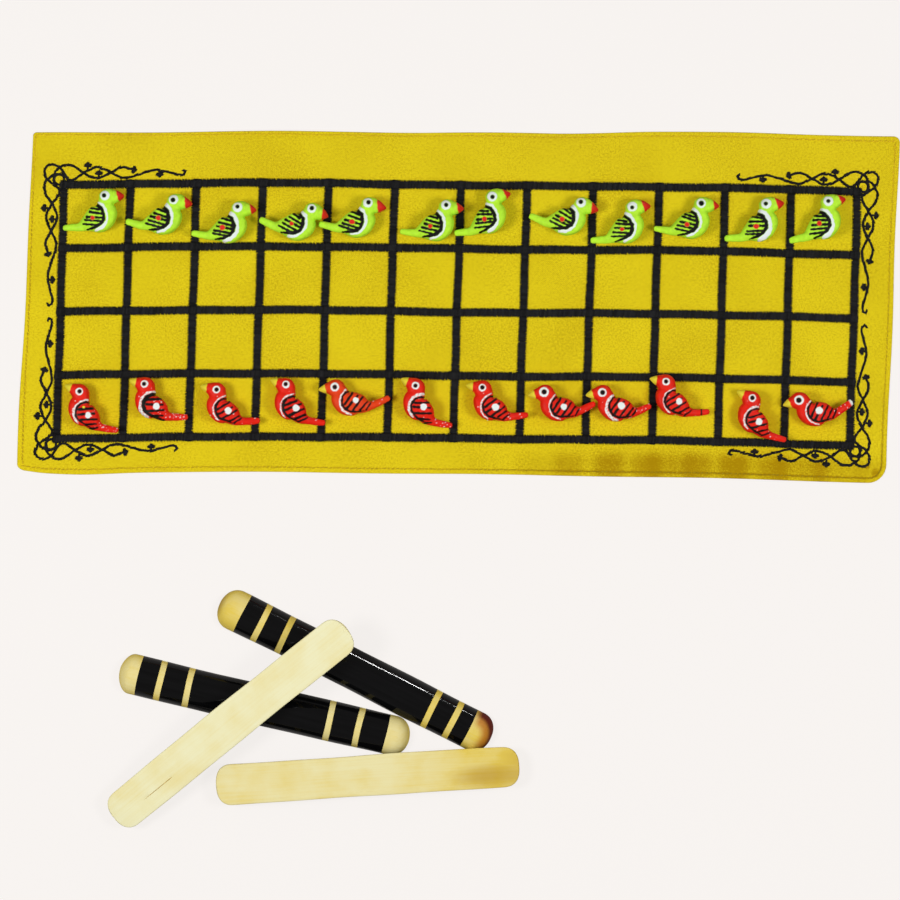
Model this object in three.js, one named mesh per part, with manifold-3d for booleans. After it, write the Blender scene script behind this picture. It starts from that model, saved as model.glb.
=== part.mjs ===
// Cloth race-game set: a lined cotton mat with a satin-stitched grid and a vine in each corner,
// two rows of painted wooden birds lying on their sides in the squares, and four half-round throwing sticks.
// Millimetres, +Z up, +X along the rows. The origin is the middle of the grid, on the mat's underside.

import * as THREE from 'three';
import { mergeVertices } from 'three/addons/utils/BufferGeometryUtils.js';
import Module from 'manifold-3d';

const wasm = await Module();
wasm.setup();

// Bird pieces
const PIECE_LENGTH = 36;
const PIECE_THICKNESS = 12;
const PIECE_SPACE = 2;

// Grid: a square is as wide as a piece is long, with some space to spare
const COLUMNS = 12;
const ROWS = 4;
const SQUARE_WIDTH = PIECE_LENGTH + PIECE_SPACE;
const SQUARE_DEPTH = 36.5;
const LINE_WIDTH = 4.5;
const LINE_CROWN = 0.7;
const THREAD_HEIGHT = 0.5;
const CROSSING_CLEARANCE = 0.3;
const CROSSING_RAMP = 0.8;

// Mat: two panels sewn together; it lies a little askew, its ends bowed down, and is cut out of square
const PANEL_THICKNESS = 0.6;
const LAY_SHEAR = 0.0215;
const LAY_BOW = 1.9;
const CUT_LEAN = 0.9;
const CUT_FLARE = 0.7;
const STITCH_INSET = 2.8;
const STITCH_WIDTH = 0.7;
const STITCH_HEIGHT = 0.3;
const ROUND_TOP_LEFT = 2;
const ROUND_TOP_RIGHT = 4;
const ROUND_BOTTOM_RIGHT = 11;
const ROUND_BOTTOM_LEFT = 4;

// Vines: two strands that cross in waves beside the grid, from a knot at the corner
const STRAND_WIDTH = 1.5;
const STRAND_SWING = 3.1;
const VINE_CLEARANCE = 0.8;
const VINE_END_GAP = 6;
const VINE_WAVES = 4.55;
const KNOT_REACH = 11.4;
const KNOT_RING_RADIUS = 2.9;
const CURL_RADIUS = 1.7;
const LEAF_RADIUS = 2.6;

// Plain cloth beyond the vines
const LEFT_PLAIN = 7.5;
const RIGHT_PLAIN = 10.7;
const TOP_PLAIN = 18.2;
const BOTTOM_PLAIN = 8.2;

// Throwing sticks: half-round, with rounded ends
const STICK_LENGTH = 174;
const STICK_WIDTH = 23.5;
const STICK_RISE = 11;
const STICK_EDGE = 0.8;
const STICK_END_ROUND = 10;
const STICK_END_BLUNT = 0.12;
const STICK_TUCK = 1.5;
const STICK_GAP = 0.3;
const STICK_LEAN_GAP = 0.6;
const STICKS_BELOW_MAT = 179.7;
const STICKS_LEFT_OF_MIDDLE = 135.5;

// How the sticks fell: headings in degrees, the end of the first along the fourth, the foot of the third
const HEADING_1 = -26.1;
const HEADING_2 = -12.8;
const HEADING_3 = 39.6;
const HEADING_4 = 4.1;
const STICK_1_END_ALONG = 150;
const STICK_3_FOOT = new THREE.Vector2(-57.3, -18.3);

// Facets
const PIECE_SIDES = 8;
const BEAK_SIDES = 6;
const STICK_ARCH_STEPS = 9;
const STICK_END_STEPS = 4;
const STRAND_STEP = 4;
const KNOT_STEP = 2.5;
const RING_STEPS = 8;
const CURL_STEPS = 4;
const LEAF_STEPS = 9;
const CORNER_STEPS = 5;
const EDGE_STEPS = 6;

// The birds are drawn for a piece of DRAWN_LENGTH from tail tip to beak tip and scaled to PIECE_LENGTH
const DRAWN_LENGTH = 36;
const DRAWN_SEAT = new THREE.Vector2(20, 6);
const PIECE_SCALE = PIECE_LENGTH / DRAWN_LENGTH;

// Each bird as it was set down: distance right and up of the middle of its square, degrees head-up
const GREEN_LAY = [
  [1.5, -0.2, 3], [1.2, -2, -12], [0, -6.5, -6], [1.2, -5, -22], [-2.7, -3.3, -13], [5.2, -5, -6],
  [-3.2, -0.5, 9], [4.7, -1.2, -22], [0, -5, 6], [-0.1, -2.2, -9], [0.7, -2.2, 7], [0, 0.6, 12],
];
const RED_LAY = [
  [-2.6, -3.8, 10.5], [-2, 0.8, 4], [1.3, -2.1, 0], [1.5, -0.3, 10], [-0.8, 1.8, -25], [-0.9, -0.2, 13],
  [3, -0.1, -3], [3.9, 0.3, -22], [-1.2, -0.5, -21], [-7.2, 4.3, 1], [1.2, -4.6, 16], [-1.5, 0.3, -33],
];

// A bird's loft stations, from tail tip to crown: middle x, y, half width and share of the half thickness
const GREEN_STATIONS = [
  [0.3, 0.2, 1.6, 0.2], [5, 0, 2, 0.28], [9.6, 0, 2.5, 0.4], [13.2, 1.6, 4.4, 0.7],
  [17.4, 3.2, 7.1, 1], [21.8, 5, 8.1, 1], [24.4, 9, 7, 0.97], [24.8, 13.2, 4.4, 0.86],
  [26.4, 16.9, 5.5, 0.86], [26.7, 20, 4.2, 0.68], [26.7, 21.7, 1.5, 0.28],
];
const RED_STATIONS = [
  [0.2, 1.1, 1.5, 0.2], [5, 0.5, 2, 0.28], [9.6, 0.3, 2.3, 0.37], [13, 1.2, 3.9, 0.66],
  [16.9, 4.2, 6.1, 1], [21.6, 5.8, 7.1, 1], [24.6, 9.8, 6.2, 0.97], [24.1, 13.6, 4.2, 0.86],
  [25.2, 17.2, 5.4, 0.86], [25.5, 20.1, 4.2, 0.68], [25.6, 21.7, 1.5, 0.28],
];
const GREEN_BEAK = { root: [29.3, 17], tip: [36, 17.8], radius: 3.8 };
const RED_BEAK = { root: [28.2, 17.7], tip: [34.6, 18.5], radius: 3.6 };

// Derived sizes
const GRID_HALF_WIDTH = COLUMNS * SQUARE_WIDTH / 2;
const GRID_HALF_DEPTH = ROWS * SQUARE_DEPTH / 2;
const MAT_TOP = 2 * PANEL_THICKNESS;
const VINE_NEAR = LINE_WIDTH / 2 + VINE_CLEARANCE + STRAND_WIDTH / 2;
const VINE_MIDDLE = VINE_NEAR + STRAND_SWING;
const VINE_REACH = KNOT_REACH + STRAND_WIDTH / 2;
const VINE_WAVE = (GRID_HALF_DEPTH - VINE_END_GAP / 2) / VINE_WAVES;

const finish = (color, roughness) => new THREE.MeshStandardMaterial({ color, roughness, metalness: 0 });
const YELLOW_COTTON = finish('#d9c01f', 0.9);
const YELLOW_THREAD = finish('#cbb01a', 0.8);
const BLACK_THREAD = finish('#161617', 0.6);
const GREEN_PAINT = finish('#a6dc2e', 0.45);
const RED_PAINT = finish('#d8231c', 0.45);
const BARE_WOOD = finish('#e9dca0', 0.6);
const BLACK_LACQUER = finish('#141414', 0.25);

// Joining of closed solids
function solid(geometry) {
  const bare = geometry.clone();
  bare.deleteAttribute('normal');
  bare.deleteAttribute('uv');
  const merged = mergeVertices(bare);
  const vertProperties = new Float32Array(merged.attributes.position.array);
  const triVerts = new Uint32Array(merged.index.array);
  return new wasm.Manifold(new wasm.Mesh({ numProp: 3, vertProperties, triVerts }));
}

function joined(geometries) {
  const mesh = geometries.map(solid).reduce((whole, next) => whole.add(next)).getMesh();
  const geometry = new THREE.BufferGeometry();
  geometry.setAttribute('position', new THREE.BufferAttribute(mesh.vertProperties, 3));
  geometry.setIndex(new THREE.BufferAttribute(mesh.triVerts, 1));
  geometry.computeVertexNormals();
  return geometry;
}

// Skin over rings of points, each ring anticlockwise as seen from the far end. It has flat caps, or is
// closed by joining the last ring to the first
function loft(rings, closed = false) {
  const count = rings[0].length;
  const index = [];
  const spans = closed ? rings.length : rings.length - 1;
  for (let ring = 0; ring < spans; ring += 1) {
    const next = (ring + 1) % rings.length;
    for (let side = 0; side < count; side += 1) {
      const beside = (side + 1) % count;
      index.push(ring * count + side, ring * count + beside, next * count + beside);
      index.push(ring * count + side, next * count + beside, next * count + side);
    }
  }
  const last = (rings.length - 1) * count;
  for (let side = 1; !closed && side + 1 < count; side += 1) {
    index.push(0, side + 1, side);
    index.push(last, last + side, last + side + 1);
  }
  const geometry = new THREE.BufferGeometry().setFromPoints(rings.flat());
  geometry.setIndex(index);
  geometry.computeVertexNormals();
  return geometry;
}

// A flat outline raised to a height, standing on z = 0
function raised(shape, height) {
  const options = { depth: height, bevelEnabled: false, curveSegments: CORNER_STEPS };
  return new THREE.ExtrudeGeometry(shape, options);
}

// A profile drawn in X and Z, run along Y and centred there
function runAlongY(profile, length) {
  return raised(profile, length).rotateX(Math.PI / 2).translate(0, length / 2, 0);
}

// Where a point of the flat mat lies
function layPoint(x, y) {
  const bowed = y - LAY_BOW * (x / GRID_HALF_WIDTH) ** 2;
  return new THREE.Vector2(x + LAY_SHEAR * bowed, bowed);
}

function laid(geometry) {
  const points = geometry.attributes.position;
  for (let i = 0; i < points.count; i += 1) {
    const place = layPoint(points.getX(i), points.getY(i));
    points.setXY(i, place.x, place.y);
  }
  return geometry;
}

function named(name, geometry, material) {
  const mesh = new THREE.Mesh(geometry, material);
  mesh.name = name;
  return mesh;
}

// Mat outline, moved in from the cut edge
function matOutline(inset) {
  const left = GRID_HALF_WIDTH + VINE_REACH + LEFT_PLAIN - inset;
  const right = GRID_HALF_WIDTH + VINE_REACH + RIGHT_PLAIN - inset;
  const top = GRID_HALF_DEPTH + VINE_REACH + TOP_PLAIN - inset;
  const bottom = GRID_HALF_DEPTH + VINE_REACH + BOTTOM_PLAIN - inset;
  const corners = [
    { at: [-left - CUT_LEAN, -bottom + CUT_FLARE], round: ROUND_BOTTOM_LEFT },
    { at: [right - CUT_LEAN, -bottom - CUT_FLARE], round: ROUND_BOTTOM_RIGHT },
    { at: [right + CUT_LEAN, top + CUT_FLARE], round: ROUND_TOP_RIGHT },
    { at: [-left + CUT_LEAN, top - CUT_FLARE], round: ROUND_TOP_LEFT },
  ];
  const points = corners.map((corner) => new THREE.Vector2(...corner.at));
  const shape = new THREE.Shape();
  points.forEach((corner, i) => {
    const before = points[(i + 3) % 4];
    const after = points[(i + 1) % 4];
    const round = corners[i].round;
    const start = corner.clone().lerp(before, round / corner.distanceTo(before));
    const end = corner.clone().lerp(after, round / corner.distanceTo(after));
    if (i === 0) shape.moveTo(start.x, start.y);
    else edgePoints(shape.currentPoint, start).forEach((point) => shape.lineTo(point.x, point.y));
    shape.quadraticCurveTo(corner.x, corner.y, end.x, end.y);
  });
  shape.closePath();
  return shape;
}

// Points along a straight edge, so that it can bow
function edgePoints(start, end) {
  return Array.from({ length: EDGE_STEPS }, (_, step) => start.clone().lerp(end, (step + 1) / EDGE_STEPS));
}

function panels() {
  const lining = named('lining_cloth', laid(raised(matOutline(0), PANEL_THICKNESS)), YELLOW_COTTON);
  const face = named('face_cloth', laid(raised(matOutline(0), PANEL_THICKNESS)), YELLOW_COTTON);
  face.position.z = PANEL_THICKNESS;
  return [lining, face];
}

// Low strip of topstitch all round, between two outlines with the same number of points
function edgeStitching() {
  const outer = matOutline(STITCH_INSET).getPoints(CORNER_STEPS).slice(1);
  const inner = matOutline(STITCH_INSET + STITCH_WIDTH).getPoints(CORNER_STEPS).slice(1);
  const rings = outer.map((point, i) => [
    new THREE.Vector3(point.x, point.y, 0),
    new THREE.Vector3(inner[i].x, inner[i].y, 0),
    new THREE.Vector3(inner[i].x, inner[i].y, STITCH_HEIGHT),
    new THREE.Vector3(point.x, point.y, STITCH_HEIGHT),
  ]);
  const stitching = named('edge_stitching', laid(loft(rings, true)), YELLOW_THREAD);
  stitching.position.z = MAT_TOP;
  return stitching;
}

const columnPlace = (column) => column * SQUARE_WIDTH - GRID_HALF_WIDTH;

// Satin bar with its edges rolled down to the cloth
function columnLine(column) {
  const half = LINE_WIDTH / 2;
  const profile = new THREE.Shape();
  profile.moveTo(-half, 0);
  profile.lineTo(half, 0);
  profile.lineTo(half, THREAD_HEIGHT / 2);
  profile.lineTo(half * LINE_CROWN, THREAD_HEIGHT);
  profile.lineTo(-half * LINE_CROWN, THREAD_HEIGHT);
  profile.lineTo(-half, THREAD_HEIGHT / 2);
  profile.closePath();
  const geometry = runAlongY(profile, 2 * GRID_HALF_DEPTH + LINE_WIDTH).translate(columnPlace(column), 0, 0);
  const line = named(`column_line_${column + 1}`, laid(geometry), BLACK_THREAD);
  line.position.z = MAT_TOP;
  return line;
}

// Satin bar that climbs over every column line
function rowLine(row) {
  const over = LINE_WIDTH / 2 + CROSSING_CLEARANCE;
  const end = GRID_HALF_WIDTH + LINE_WIDTH / 2;
  const edge = [new THREE.Vector2(-end, THREAD_HEIGHT)];
  for (let column = 0; column <= COLUMNS; column += 1) {
    const x = columnPlace(column);
    if (column > 0) {
      edge.push(new THREE.Vector2(x - over - CROSSING_RAMP, 0));
      edge.push(new THREE.Vector2(x - over, THREAD_HEIGHT));
    }
    if (column < COLUMNS) {
      edge.push(new THREE.Vector2(x + over, THREAD_HEIGHT));
      edge.push(new THREE.Vector2(x + over + CROSSING_RAMP, 0));
    }
  }
  edge.push(new THREE.Vector2(end, THREAD_HEIGHT));
  const upper = edge.map((point) => new THREE.Vector2(point.x, point.y + THREAD_HEIGHT)).reverse();
  const profile = new THREE.Shape([...edge, ...upper]);
  const geometry = runAlongY(profile, LINE_WIDTH).translate(0, GRID_HALF_DEPTH - row * SQUARE_DEPTH, 0);
  const line = named(`row_line_${row + 1}`, laid(geometry), BLACK_THREAD);
  line.position.z = MAT_TOP;
  return line;
}

// Flat ribbon of even width along a smooth curve through points
function ribbon(points, closed = false) {
  const path = points.map((point) => new THREE.Vector3(point.x, point.y, 0));
  const curve = new THREE.CatmullRomCurve3(path, closed, 'centripetal');
  const steps = Math.ceil(curve.getLength() / (closed ? KNOT_STEP : STRAND_STEP));
  const left = [];
  const right = [];
  for (let step = 0; step <= steps; step += 1) {
    const point = curve.getPointAt(step / steps);
    const tangent = curve.getTangentAt(step / steps);
    const across = new THREE.Vector2(-tangent.y, tangent.x).multiplyScalar(STRAND_WIDTH / 2);
    left.push(new THREE.Vector2(point.x + across.x, point.y + across.y));
    right.push(new THREE.Vector2(point.x - across.x, point.y - across.y));
  }
  if (!closed) return new THREE.Shape([...left, ...right.reverse()]);
  left.pop();
  right.pop();
  const leftIsOuter = Math.abs(THREE.ShapeUtils.area(left)) > Math.abs(THREE.ShapeUtils.area(right));
  const [outer, inner] = leftIsOuter ? [left, right] : [right, left];
  const loop = new THREE.Shape(outer);
  loop.holes.push(new THREE.Path(inner.reverse()));
  return loop;
}

// Leaf of three lobes around a place on an arm; its stem lobe points the way that is given, in degrees
function leafOutline(place, along, out, stem) {
  const points = [];
  for (let step = 0; step < LEAF_STEPS; step += 1) {
    const angle = 2 * Math.PI * step / LEAF_STEPS;
    const reach = LEAF_RADIUS * (0.65 + 0.35 * Math.cos(3 * angle));
    const turned = angle + THREE.MathUtils.degToRad(stem);
    points.push(place(along + reach * Math.cos(turned), out + reach * Math.sin(turned)));
  }
  return new THREE.Shape(points);
}

// One arm's strands and leaves: distance along the grid line from its corner, distance out from the line
function armStrands(place) {
  const wave = VINE_WAVE;
  const swing = STRAND_SWING;
  const middle = VINE_MIDDLE;
  const shortStrand = [
    [-0.3 * wave, middle + 0.65 * swing], [0, middle + 1.35 * swing], [0.2 * wave, middle + 1.3 * swing],
    [0.72 * wave, middle], [1.22 * wave, middle - swing], [1.72 * wave, middle],
    [2.22 * wave, middle + swing], [2.6 * wave, middle + 0.65 * swing],
  ];
  const tie = [
    [-0.12 * wave, middle + 1.2 * swing], [0.1 * wave, middle + 0.1 * swing], [0.3 * wave, middle - swing],
  ];
  const longStrand = [
    [0.3 * wave, middle - swing], [0.72 * wave, middle], [1.22 * wave, middle + swing],
    [1.72 * wave, middle], [2.2 * wave, middle - swing], [2.85 * wave, middle - 0.35 * swing],
    [3.5 * wave, middle + 0.4 * swing], [3.95 * wave, middle],
  ];
  for (let step = 0; step <= CURL_STEPS; step += 1) {
    const angle = Math.PI * (1.25 * step / CURL_STEPS - 0.5);
    const s = 4.5 * wave + CURL_RADIUS * (Math.cos(angle) - 1);
    longStrand.push([s, middle + CURL_RADIUS * (Math.sin(angle) + 0.6)]);
  }
  return [shortStrand, tie, longStrand].map((strand) => ribbon(strand.map(([s, n]) => place(s, n))));
}

function armLeaves(place) {
  const wave = VINE_WAVE;
  const swing = STRAND_SWING;
  const middle = VINE_MIDDLE;
  const leaves = [
    [0.86 * wave, middle + 1.25 * swing, -90], [1.28 * wave, middle - 0.25 * swing, -90],
    [2.68 * wave, middle + 0.5 * swing, 165], [3.55 * wave, middle - 0.3 * swing, 90],
  ];
  return leaves.map(([along, out, stem]) => leafOutline(place, along, out, stem));
}

// Corner vine; side and end are +1 or -1 and say which corner it grows from
function cornerVine(name, side, end) {
  const corner = new THREE.Vector2(side * GRID_HALF_WIDTH, end * GRID_HALF_DEPTH);
  const outward = (u, v) => new THREE.Vector2(corner.x + side * u, corner.y + end * v);
  const alongRow = (s, n) => outward(-s, n);
  const alongColumn = (s, n) => outward(n, -s);
  const near = VINE_NEAR;
  const far = KNOT_REACH;
  const petal = [
    [near, near], [0.78 * far, 0.38 * far], [far, 0.72 * far], [0.96 * far, 0.96 * far],
    [0.72 * far, far], [0.38 * far, 0.78 * far],
  ];
  const ringPlace = near + KNOT_RING_RADIUS * Math.SQRT1_2;
  const ring = [];
  for (let step = 0; step < RING_STEPS; step += 1) {
    const angle = 2 * Math.PI * step / RING_STEPS;
    const u = ringPlace + KNOT_RING_RADIUS * Math.cos(angle);
    ring.push(outward(u, ringPlace + KNOT_RING_RADIUS * Math.sin(angle)));
  }
  const outlines = [
    ...armStrands(alongRow), ...armLeaves(alongRow), ...armStrands(alongColumn), ...armLeaves(alongColumn),
    ribbon(petal.map(([u, v]) => outward(u, v)), true), ribbon(ring, true),
  ];
  const geometry = joined(outlines.map((outline) => raised(outline, THREAD_HEIGHT)));
  const vine = named(name, laid(geometry), BLACK_THREAD);
  vine.position.z = MAT_TOP;
  return vine;
}

function drawnPoint(x, y) {
  return new THREE.Vector2(x, y).sub(DRAWN_SEAT).multiplyScalar(PIECE_SCALE);
}

// Bird lying on its side: the spine runs from tail to crown in X and Y, the thickness is along Z
function birdBody(stations) {
  const middles = stations.map(([x, y]) => drawnPoint(x, y));
  const toFlats = 1 / Math.cos(Math.PI / PIECE_SIDES);
  const rings = stations.map(([, , halfWidth, share], i) => {
    const ahead = middles[Math.min(i + 1, middles.length - 1)];
    const behind = middles[Math.max(i - 1, 0)];
    const heading = ahead.clone().sub(behind).angle();
    const ring = [];
    for (let side = 0; side < PIECE_SIDES; side += 1) {
      const angle = 2 * Math.PI * (side + 0.5) / PIECE_SIDES;
      const across = halfWidth * PIECE_SCALE * toFlats * Math.cos(angle);
      const x = middles[i].x - across * Math.sin(heading);
      const y = middles[i].y + across * Math.cos(heading);
      ring.push(new THREE.Vector3(x, y, share * PIECE_THICKNESS / 2 * toFlats * Math.sin(angle)));
    }
    return ring;
  });
  return loft(rings);
}

function birdBeak({ root, tip, radius }) {
  const from = drawnPoint(...root);
  const to = drawnPoint(...tip);
  const length = to.distanceTo(from);
  const cone = new THREE.ConeGeometry(radius * PIECE_SCALE, length, BEAK_SIDES).rotateZ(-Math.PI / 2);
  cone.rotateZ(to.clone().sub(from).angle());
  return cone.translate((from.x + to.x) / 2, (from.y + to.y) / 2, 0);
}

function birds(colour, stations, beak, lay, row, facesLeft, material) {
  const geometry = joined([birdBody(stations), birdBeak(beak)]);
  const rowMiddle = GRID_HALF_DEPTH - (row + 0.5) * SQUARE_DEPTH;
  return Array.from({ length: COLUMNS }, (_, column) => {
    const [right, up, turn] = lay[column % lay.length];
    const bird = named(`${colour}_bird_${column + 1}`, geometry.clone(), material);
    const place = layPoint(columnPlace(column + 0.5) + right * PIECE_SCALE, rowMiddle + up * PIECE_SCALE);
    bird.position.set(place.x, place.y, MAT_TOP + PIECE_THICKNESS / 2);
    bird.rotation.set(0, facesLeft ? Math.PI : 0, THREE.MathUtils.degToRad(turn));
    return bird;
  });
}

// Stick from x = 0 to its length, flat face on z = 0 and round back up
function stickGeometry() {
  const half = STICK_WIDTH / 2;
  const section = [new THREE.Vector2(-half + STICK_EDGE, 0), new THREE.Vector2(half - STICK_EDGE, 0)];
  for (let step = 0; step <= STICK_ARCH_STEPS; step += 1) {
    const angle = Math.PI * step / STICK_ARCH_STEPS;
    const height = STICK_EDGE + (STICK_RISE - STICK_EDGE) * Math.sin(angle);
    section.push(new THREE.Vector2(half * Math.cos(angle), height));
  }
  const stations = [];
  for (let step = 0; step <= STICK_END_STEPS; step += 1) {
    const angle = Math.PI / 2 * THREE.MathUtils.lerp(STICK_END_BLUNT, 1, step / STICK_END_STEPS);
    stations.push([STICK_END_ROUND * (1 - Math.cos(angle)), Math.sin(angle)]);
  }
  const farEnd = stations.map(([x, size]) => [STICK_LENGTH - x, size]).reverse();
  return loft([...stations, ...farEnd].map(([x, size]) => (
    section.map((point) => new THREE.Vector3(x, size * point.x, Math.sqrt(size) * point.y))
  )));
}

function direction(degrees) {
  const angle = THREE.MathUtils.degToRad(degrees);
  return new THREE.Vector2(Math.cos(angle), Math.sin(angle));
}

// Stick turned over so that its flat face is up, lying on its round back
function flatUp(geometry) {
  return geometry.clone().rotateX(Math.PI).translate(0, 0, STICK_RISE);
}

// Stick on the floor by its left end and heading, leaning up by an angle if it rests on another
function placedStick(name, geometry, material, { left, heading }, lean = 0) {
  const stick = named(name, geometry, material);
  stick.rotation.y = -lean;
  const turned = new THREE.Group();
  turned.position.set(left.x, left.y, 0);
  turned.rotation.z = THREE.MathUtils.degToRad(heading);
  turned.add(stick);
  const lowest = new THREE.Box3().setFromObject(turned, true).min.z;
  turned.position.z = -lowest;
  return turned;
}

// Line beside a stick's rim on which another stick's right end curve is centred, when that end keeps a gap
// to the rim; side is +1 for the rim on the left of the stick's heading and -1 for the right
function besideRim(stick, side, heading, gap) {
  const outward = direction(stick.heading + side * 90);
  const ahead = direction(heading);
  const endReach = Math.hypot(STICK_END_ROUND * ahead.dot(outward), STICK_WIDTH / 2 * ahead.cross(outward));
  const left = stick.left.clone().addScaledVector(outward, STICK_WIDTH / 2 + endReach + gap);
  return { heading: stick.heading, left };
}

// Distance along one stick or line to where it crosses another, seen from above
function crossingAlong(line, other) {
  const ahead = direction(line.heading);
  const across = direction(other.heading);
  return other.left.clone().sub(line.left).cross(across) / ahead.cross(across);
}

// Stick whose right end curve is centred at a distance along a line
function endingOn(line, along, heading) {
  const left = line.left.clone().addScaledVector(direction(line.heading), along);
  left.addScaledVector(direction(heading), STICK_END_ROUND - STICK_LENGTH);
  return { heading, left };
}

function throwingSticks() {
  const matBottom = GRID_HALF_DEPTH + VINE_REACH + BOTTOM_PLAIN;
  const fourthLeft = new THREE.Vector2(-STICKS_LEFT_OF_MIDDLE, -matBottom - STICKS_BELOW_MAT);
  const fourth = { heading: HEADING_4, left: fourthLeft };
  const third = { heading: HEADING_3, left: fourthLeft.clone().add(STICK_3_FOOT) };
  const first = endingOn(besideRim(fourth, 1, HEADING_1, -STICK_TUCK), STICK_1_END_ALONG, HEADING_1);
  const underFourth = besideRim(fourth, 1, HEADING_2, -STICK_TUCK);
  const besideFirst = besideRim(first, -1, HEADING_2, STICK_GAP);
  const second = endingOn(underFourth, crossingAlong(underFourth, besideFirst), HEADING_2);
  const leanRun = crossingAlong(third, second) - STICK_END_ROUND;
  const lean = Math.atan((STICK_RISE + STICK_LEAN_GAP) / leanRun);
  const roundUp = stickGeometry();
  return [
    placedStick('throwing_stick_1', roundUp, BLACK_LACQUER, first),
    placedStick('throwing_stick_2', roundUp.clone(), BLACK_LACQUER, second),
    placedStick('throwing_stick_3', flatUp(roundUp), BARE_WOOD, third, lean),
    placedStick('throwing_stick_4', flatUp(roundUp), BARE_WOOD, fourth),
  ];
}

function mat() {
  const group = new THREE.Group();
  group.add(...panels(), edgeStitching());
  for (let column = 0; column <= COLUMNS; column += 1) group.add(columnLine(column));
  for (let row = 0; row <= ROWS; row += 1) group.add(rowLine(row));
  group.add(cornerVine('vine_top_left', -1, 1), cornerVine('vine_top_right', 1, 1));
  group.add(cornerVine('vine_bottom_left', -1, -1), cornerVine('vine_bottom_right', 1, -1));
  return group;
}

const set = new THREE.Group();
set.add(mat());
set.add(...birds('green', GREEN_STATIONS, GREEN_BEAK, GREEN_LAY, 0, false, GREEN_PAINT));
set.add(...birds('red', RED_STATIONS, RED_BEAK, RED_LAY, ROWS - 1, true, RED_PAINT));
set.add(...throwingSticks());

export default set;
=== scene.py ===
"""Cloth race-game set: a lined cotton mat, painted wooden birds and half-round throwing sticks.

Laid out as an add-on and run as a script. The constants and the functions work in millimetres unless they
say otherwise. Settings and meshes are in metres.
"""

import math

import bmesh
import bpy
import numpy as np
from mathutils import Matrix, Vector


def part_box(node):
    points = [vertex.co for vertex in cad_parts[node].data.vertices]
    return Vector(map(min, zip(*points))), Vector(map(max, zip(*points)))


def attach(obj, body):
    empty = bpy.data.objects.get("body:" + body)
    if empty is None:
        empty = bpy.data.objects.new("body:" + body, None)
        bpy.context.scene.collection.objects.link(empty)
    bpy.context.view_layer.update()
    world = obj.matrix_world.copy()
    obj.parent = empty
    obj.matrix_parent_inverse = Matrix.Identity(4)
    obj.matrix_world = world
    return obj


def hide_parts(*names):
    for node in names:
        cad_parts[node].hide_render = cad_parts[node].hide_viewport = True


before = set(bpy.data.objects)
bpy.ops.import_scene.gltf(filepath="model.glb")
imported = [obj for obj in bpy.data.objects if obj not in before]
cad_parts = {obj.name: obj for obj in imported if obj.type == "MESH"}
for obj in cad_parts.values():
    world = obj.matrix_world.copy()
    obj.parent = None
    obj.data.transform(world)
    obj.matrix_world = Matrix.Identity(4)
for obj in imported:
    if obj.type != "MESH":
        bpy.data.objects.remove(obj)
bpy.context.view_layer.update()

bl_info = {
    "name": "Cloth race-game set",
    "version": (1, 0, 0),
    "blender": (4, 5, 0),
    "location": "View3D > Sidebar > Game set",
    "description": "Makes a stitched cotton mat, its painted birds and its throwing sticks",
    "category": "Add Mesh",
}

MM = 0.001

# Seeds of the random draws, so that every run makes the same set
HEM_SEED = 11
GRID_SEED = 23
VINE_SEED = 37
STICK_SEED = 500
BIRD_SEED = 1000

# How near a cutting plane a point counts as lying on it
CUT_TOLERANCE = 0.0005

# Grid of the mat and how the cloth lies: a little askew, with its ends bowed down
COLUMNS = 12
ROWS = 4
SQUARE = (38.0, 36.5)
GRID_HALF = (COLUMNS * SQUARE[0] / 2, ROWS * SQUARE[1] / 2)
LAY_SHEAR = 0.0215
LAY_BOW = 1.9
CLOTH_TOP = 1.2
FACE_THICKNESS = 0.45
LINING_THICKNESS = 0.3
LINING_INSET = 0.8
LINING_GAP = 0.02
HEM_INSET = 2.8

# Distances between the points of the two panels, the span that they are spread over, and the closer stops
# in from a cut edge that shape its roll and hem
FACE_STEP = 2.0
LINING_STEP = 4.0
PANEL_SPAN = (500.0, 197.0)
HEM_STOPS = (0.0, 0.25, 0.6, 1.1, 1.7, 2.2, 2.6, 3.0, 3.4, 4.1, 5.2)

# Stitches: how far they sink into the cloth, and how long, wide and high they are where no setting says so
STITCH_SINK = 0.04
HEM_STITCH = (1.75, 0.6, 0.42)
SATIN_WIDTH = 1.3
STEM_HEIGHT = 0.6
LEAF_WIDTH = 1.2
LEAF_HEIGHT = 0.6
LEAF_STEM = (2.6, 1.2, 0.55)

# Corners of the cut cloth, anticlockwise from the lower left, with their rounding
CORNERS = (
    ((-248.55, -92.65), 4.0), ((249.95, -94.05), 11.0),
    ((251.75, 104.05), 4.0), ((-246.75, 102.65), 2.0),
)

# Corner vines: how far out from a grid line an arm runs, its swing, its wave, the size of its leaves, and
# the first points of its strands as distances along the line from its corner and out from it
VINE_MIDDLE = 6.7
VINE_SWING = 3.1
VINE_WAVE = (GRID_HALF[1] - 3.0) / 4.55
LEAF_RADIUS = 2.6
SHORT_START = ((-2.8, 9.9), (-0.6, 11.1), (2.0, 11.4), (6.0, 10.1))
LONG_START = ((-2.8, 9.9), (-1.5, 8.1), (0.3, 5.5), (2.4, 3.0), (4.2, 2.7), (7.0, 4.0))

# Knots of the vines: points as distances out from the corner of the grid, and the ring's middle and radius
KNOT_PETAL = ((2.8, 9.9), (5.6, 11.3), (9.2, 11.4), (11.4, 9.2), (11.3, 5.6), (9.9, 2.8))
KNOT_CROSS = ((2.8, 9.9), (4.9, 8.0), (6.1, 5.0), (5.9, 2.0), (4.5, -1.0), (2.2, -2.2))
KNOT_RING = (3.1, 2.9)

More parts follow.
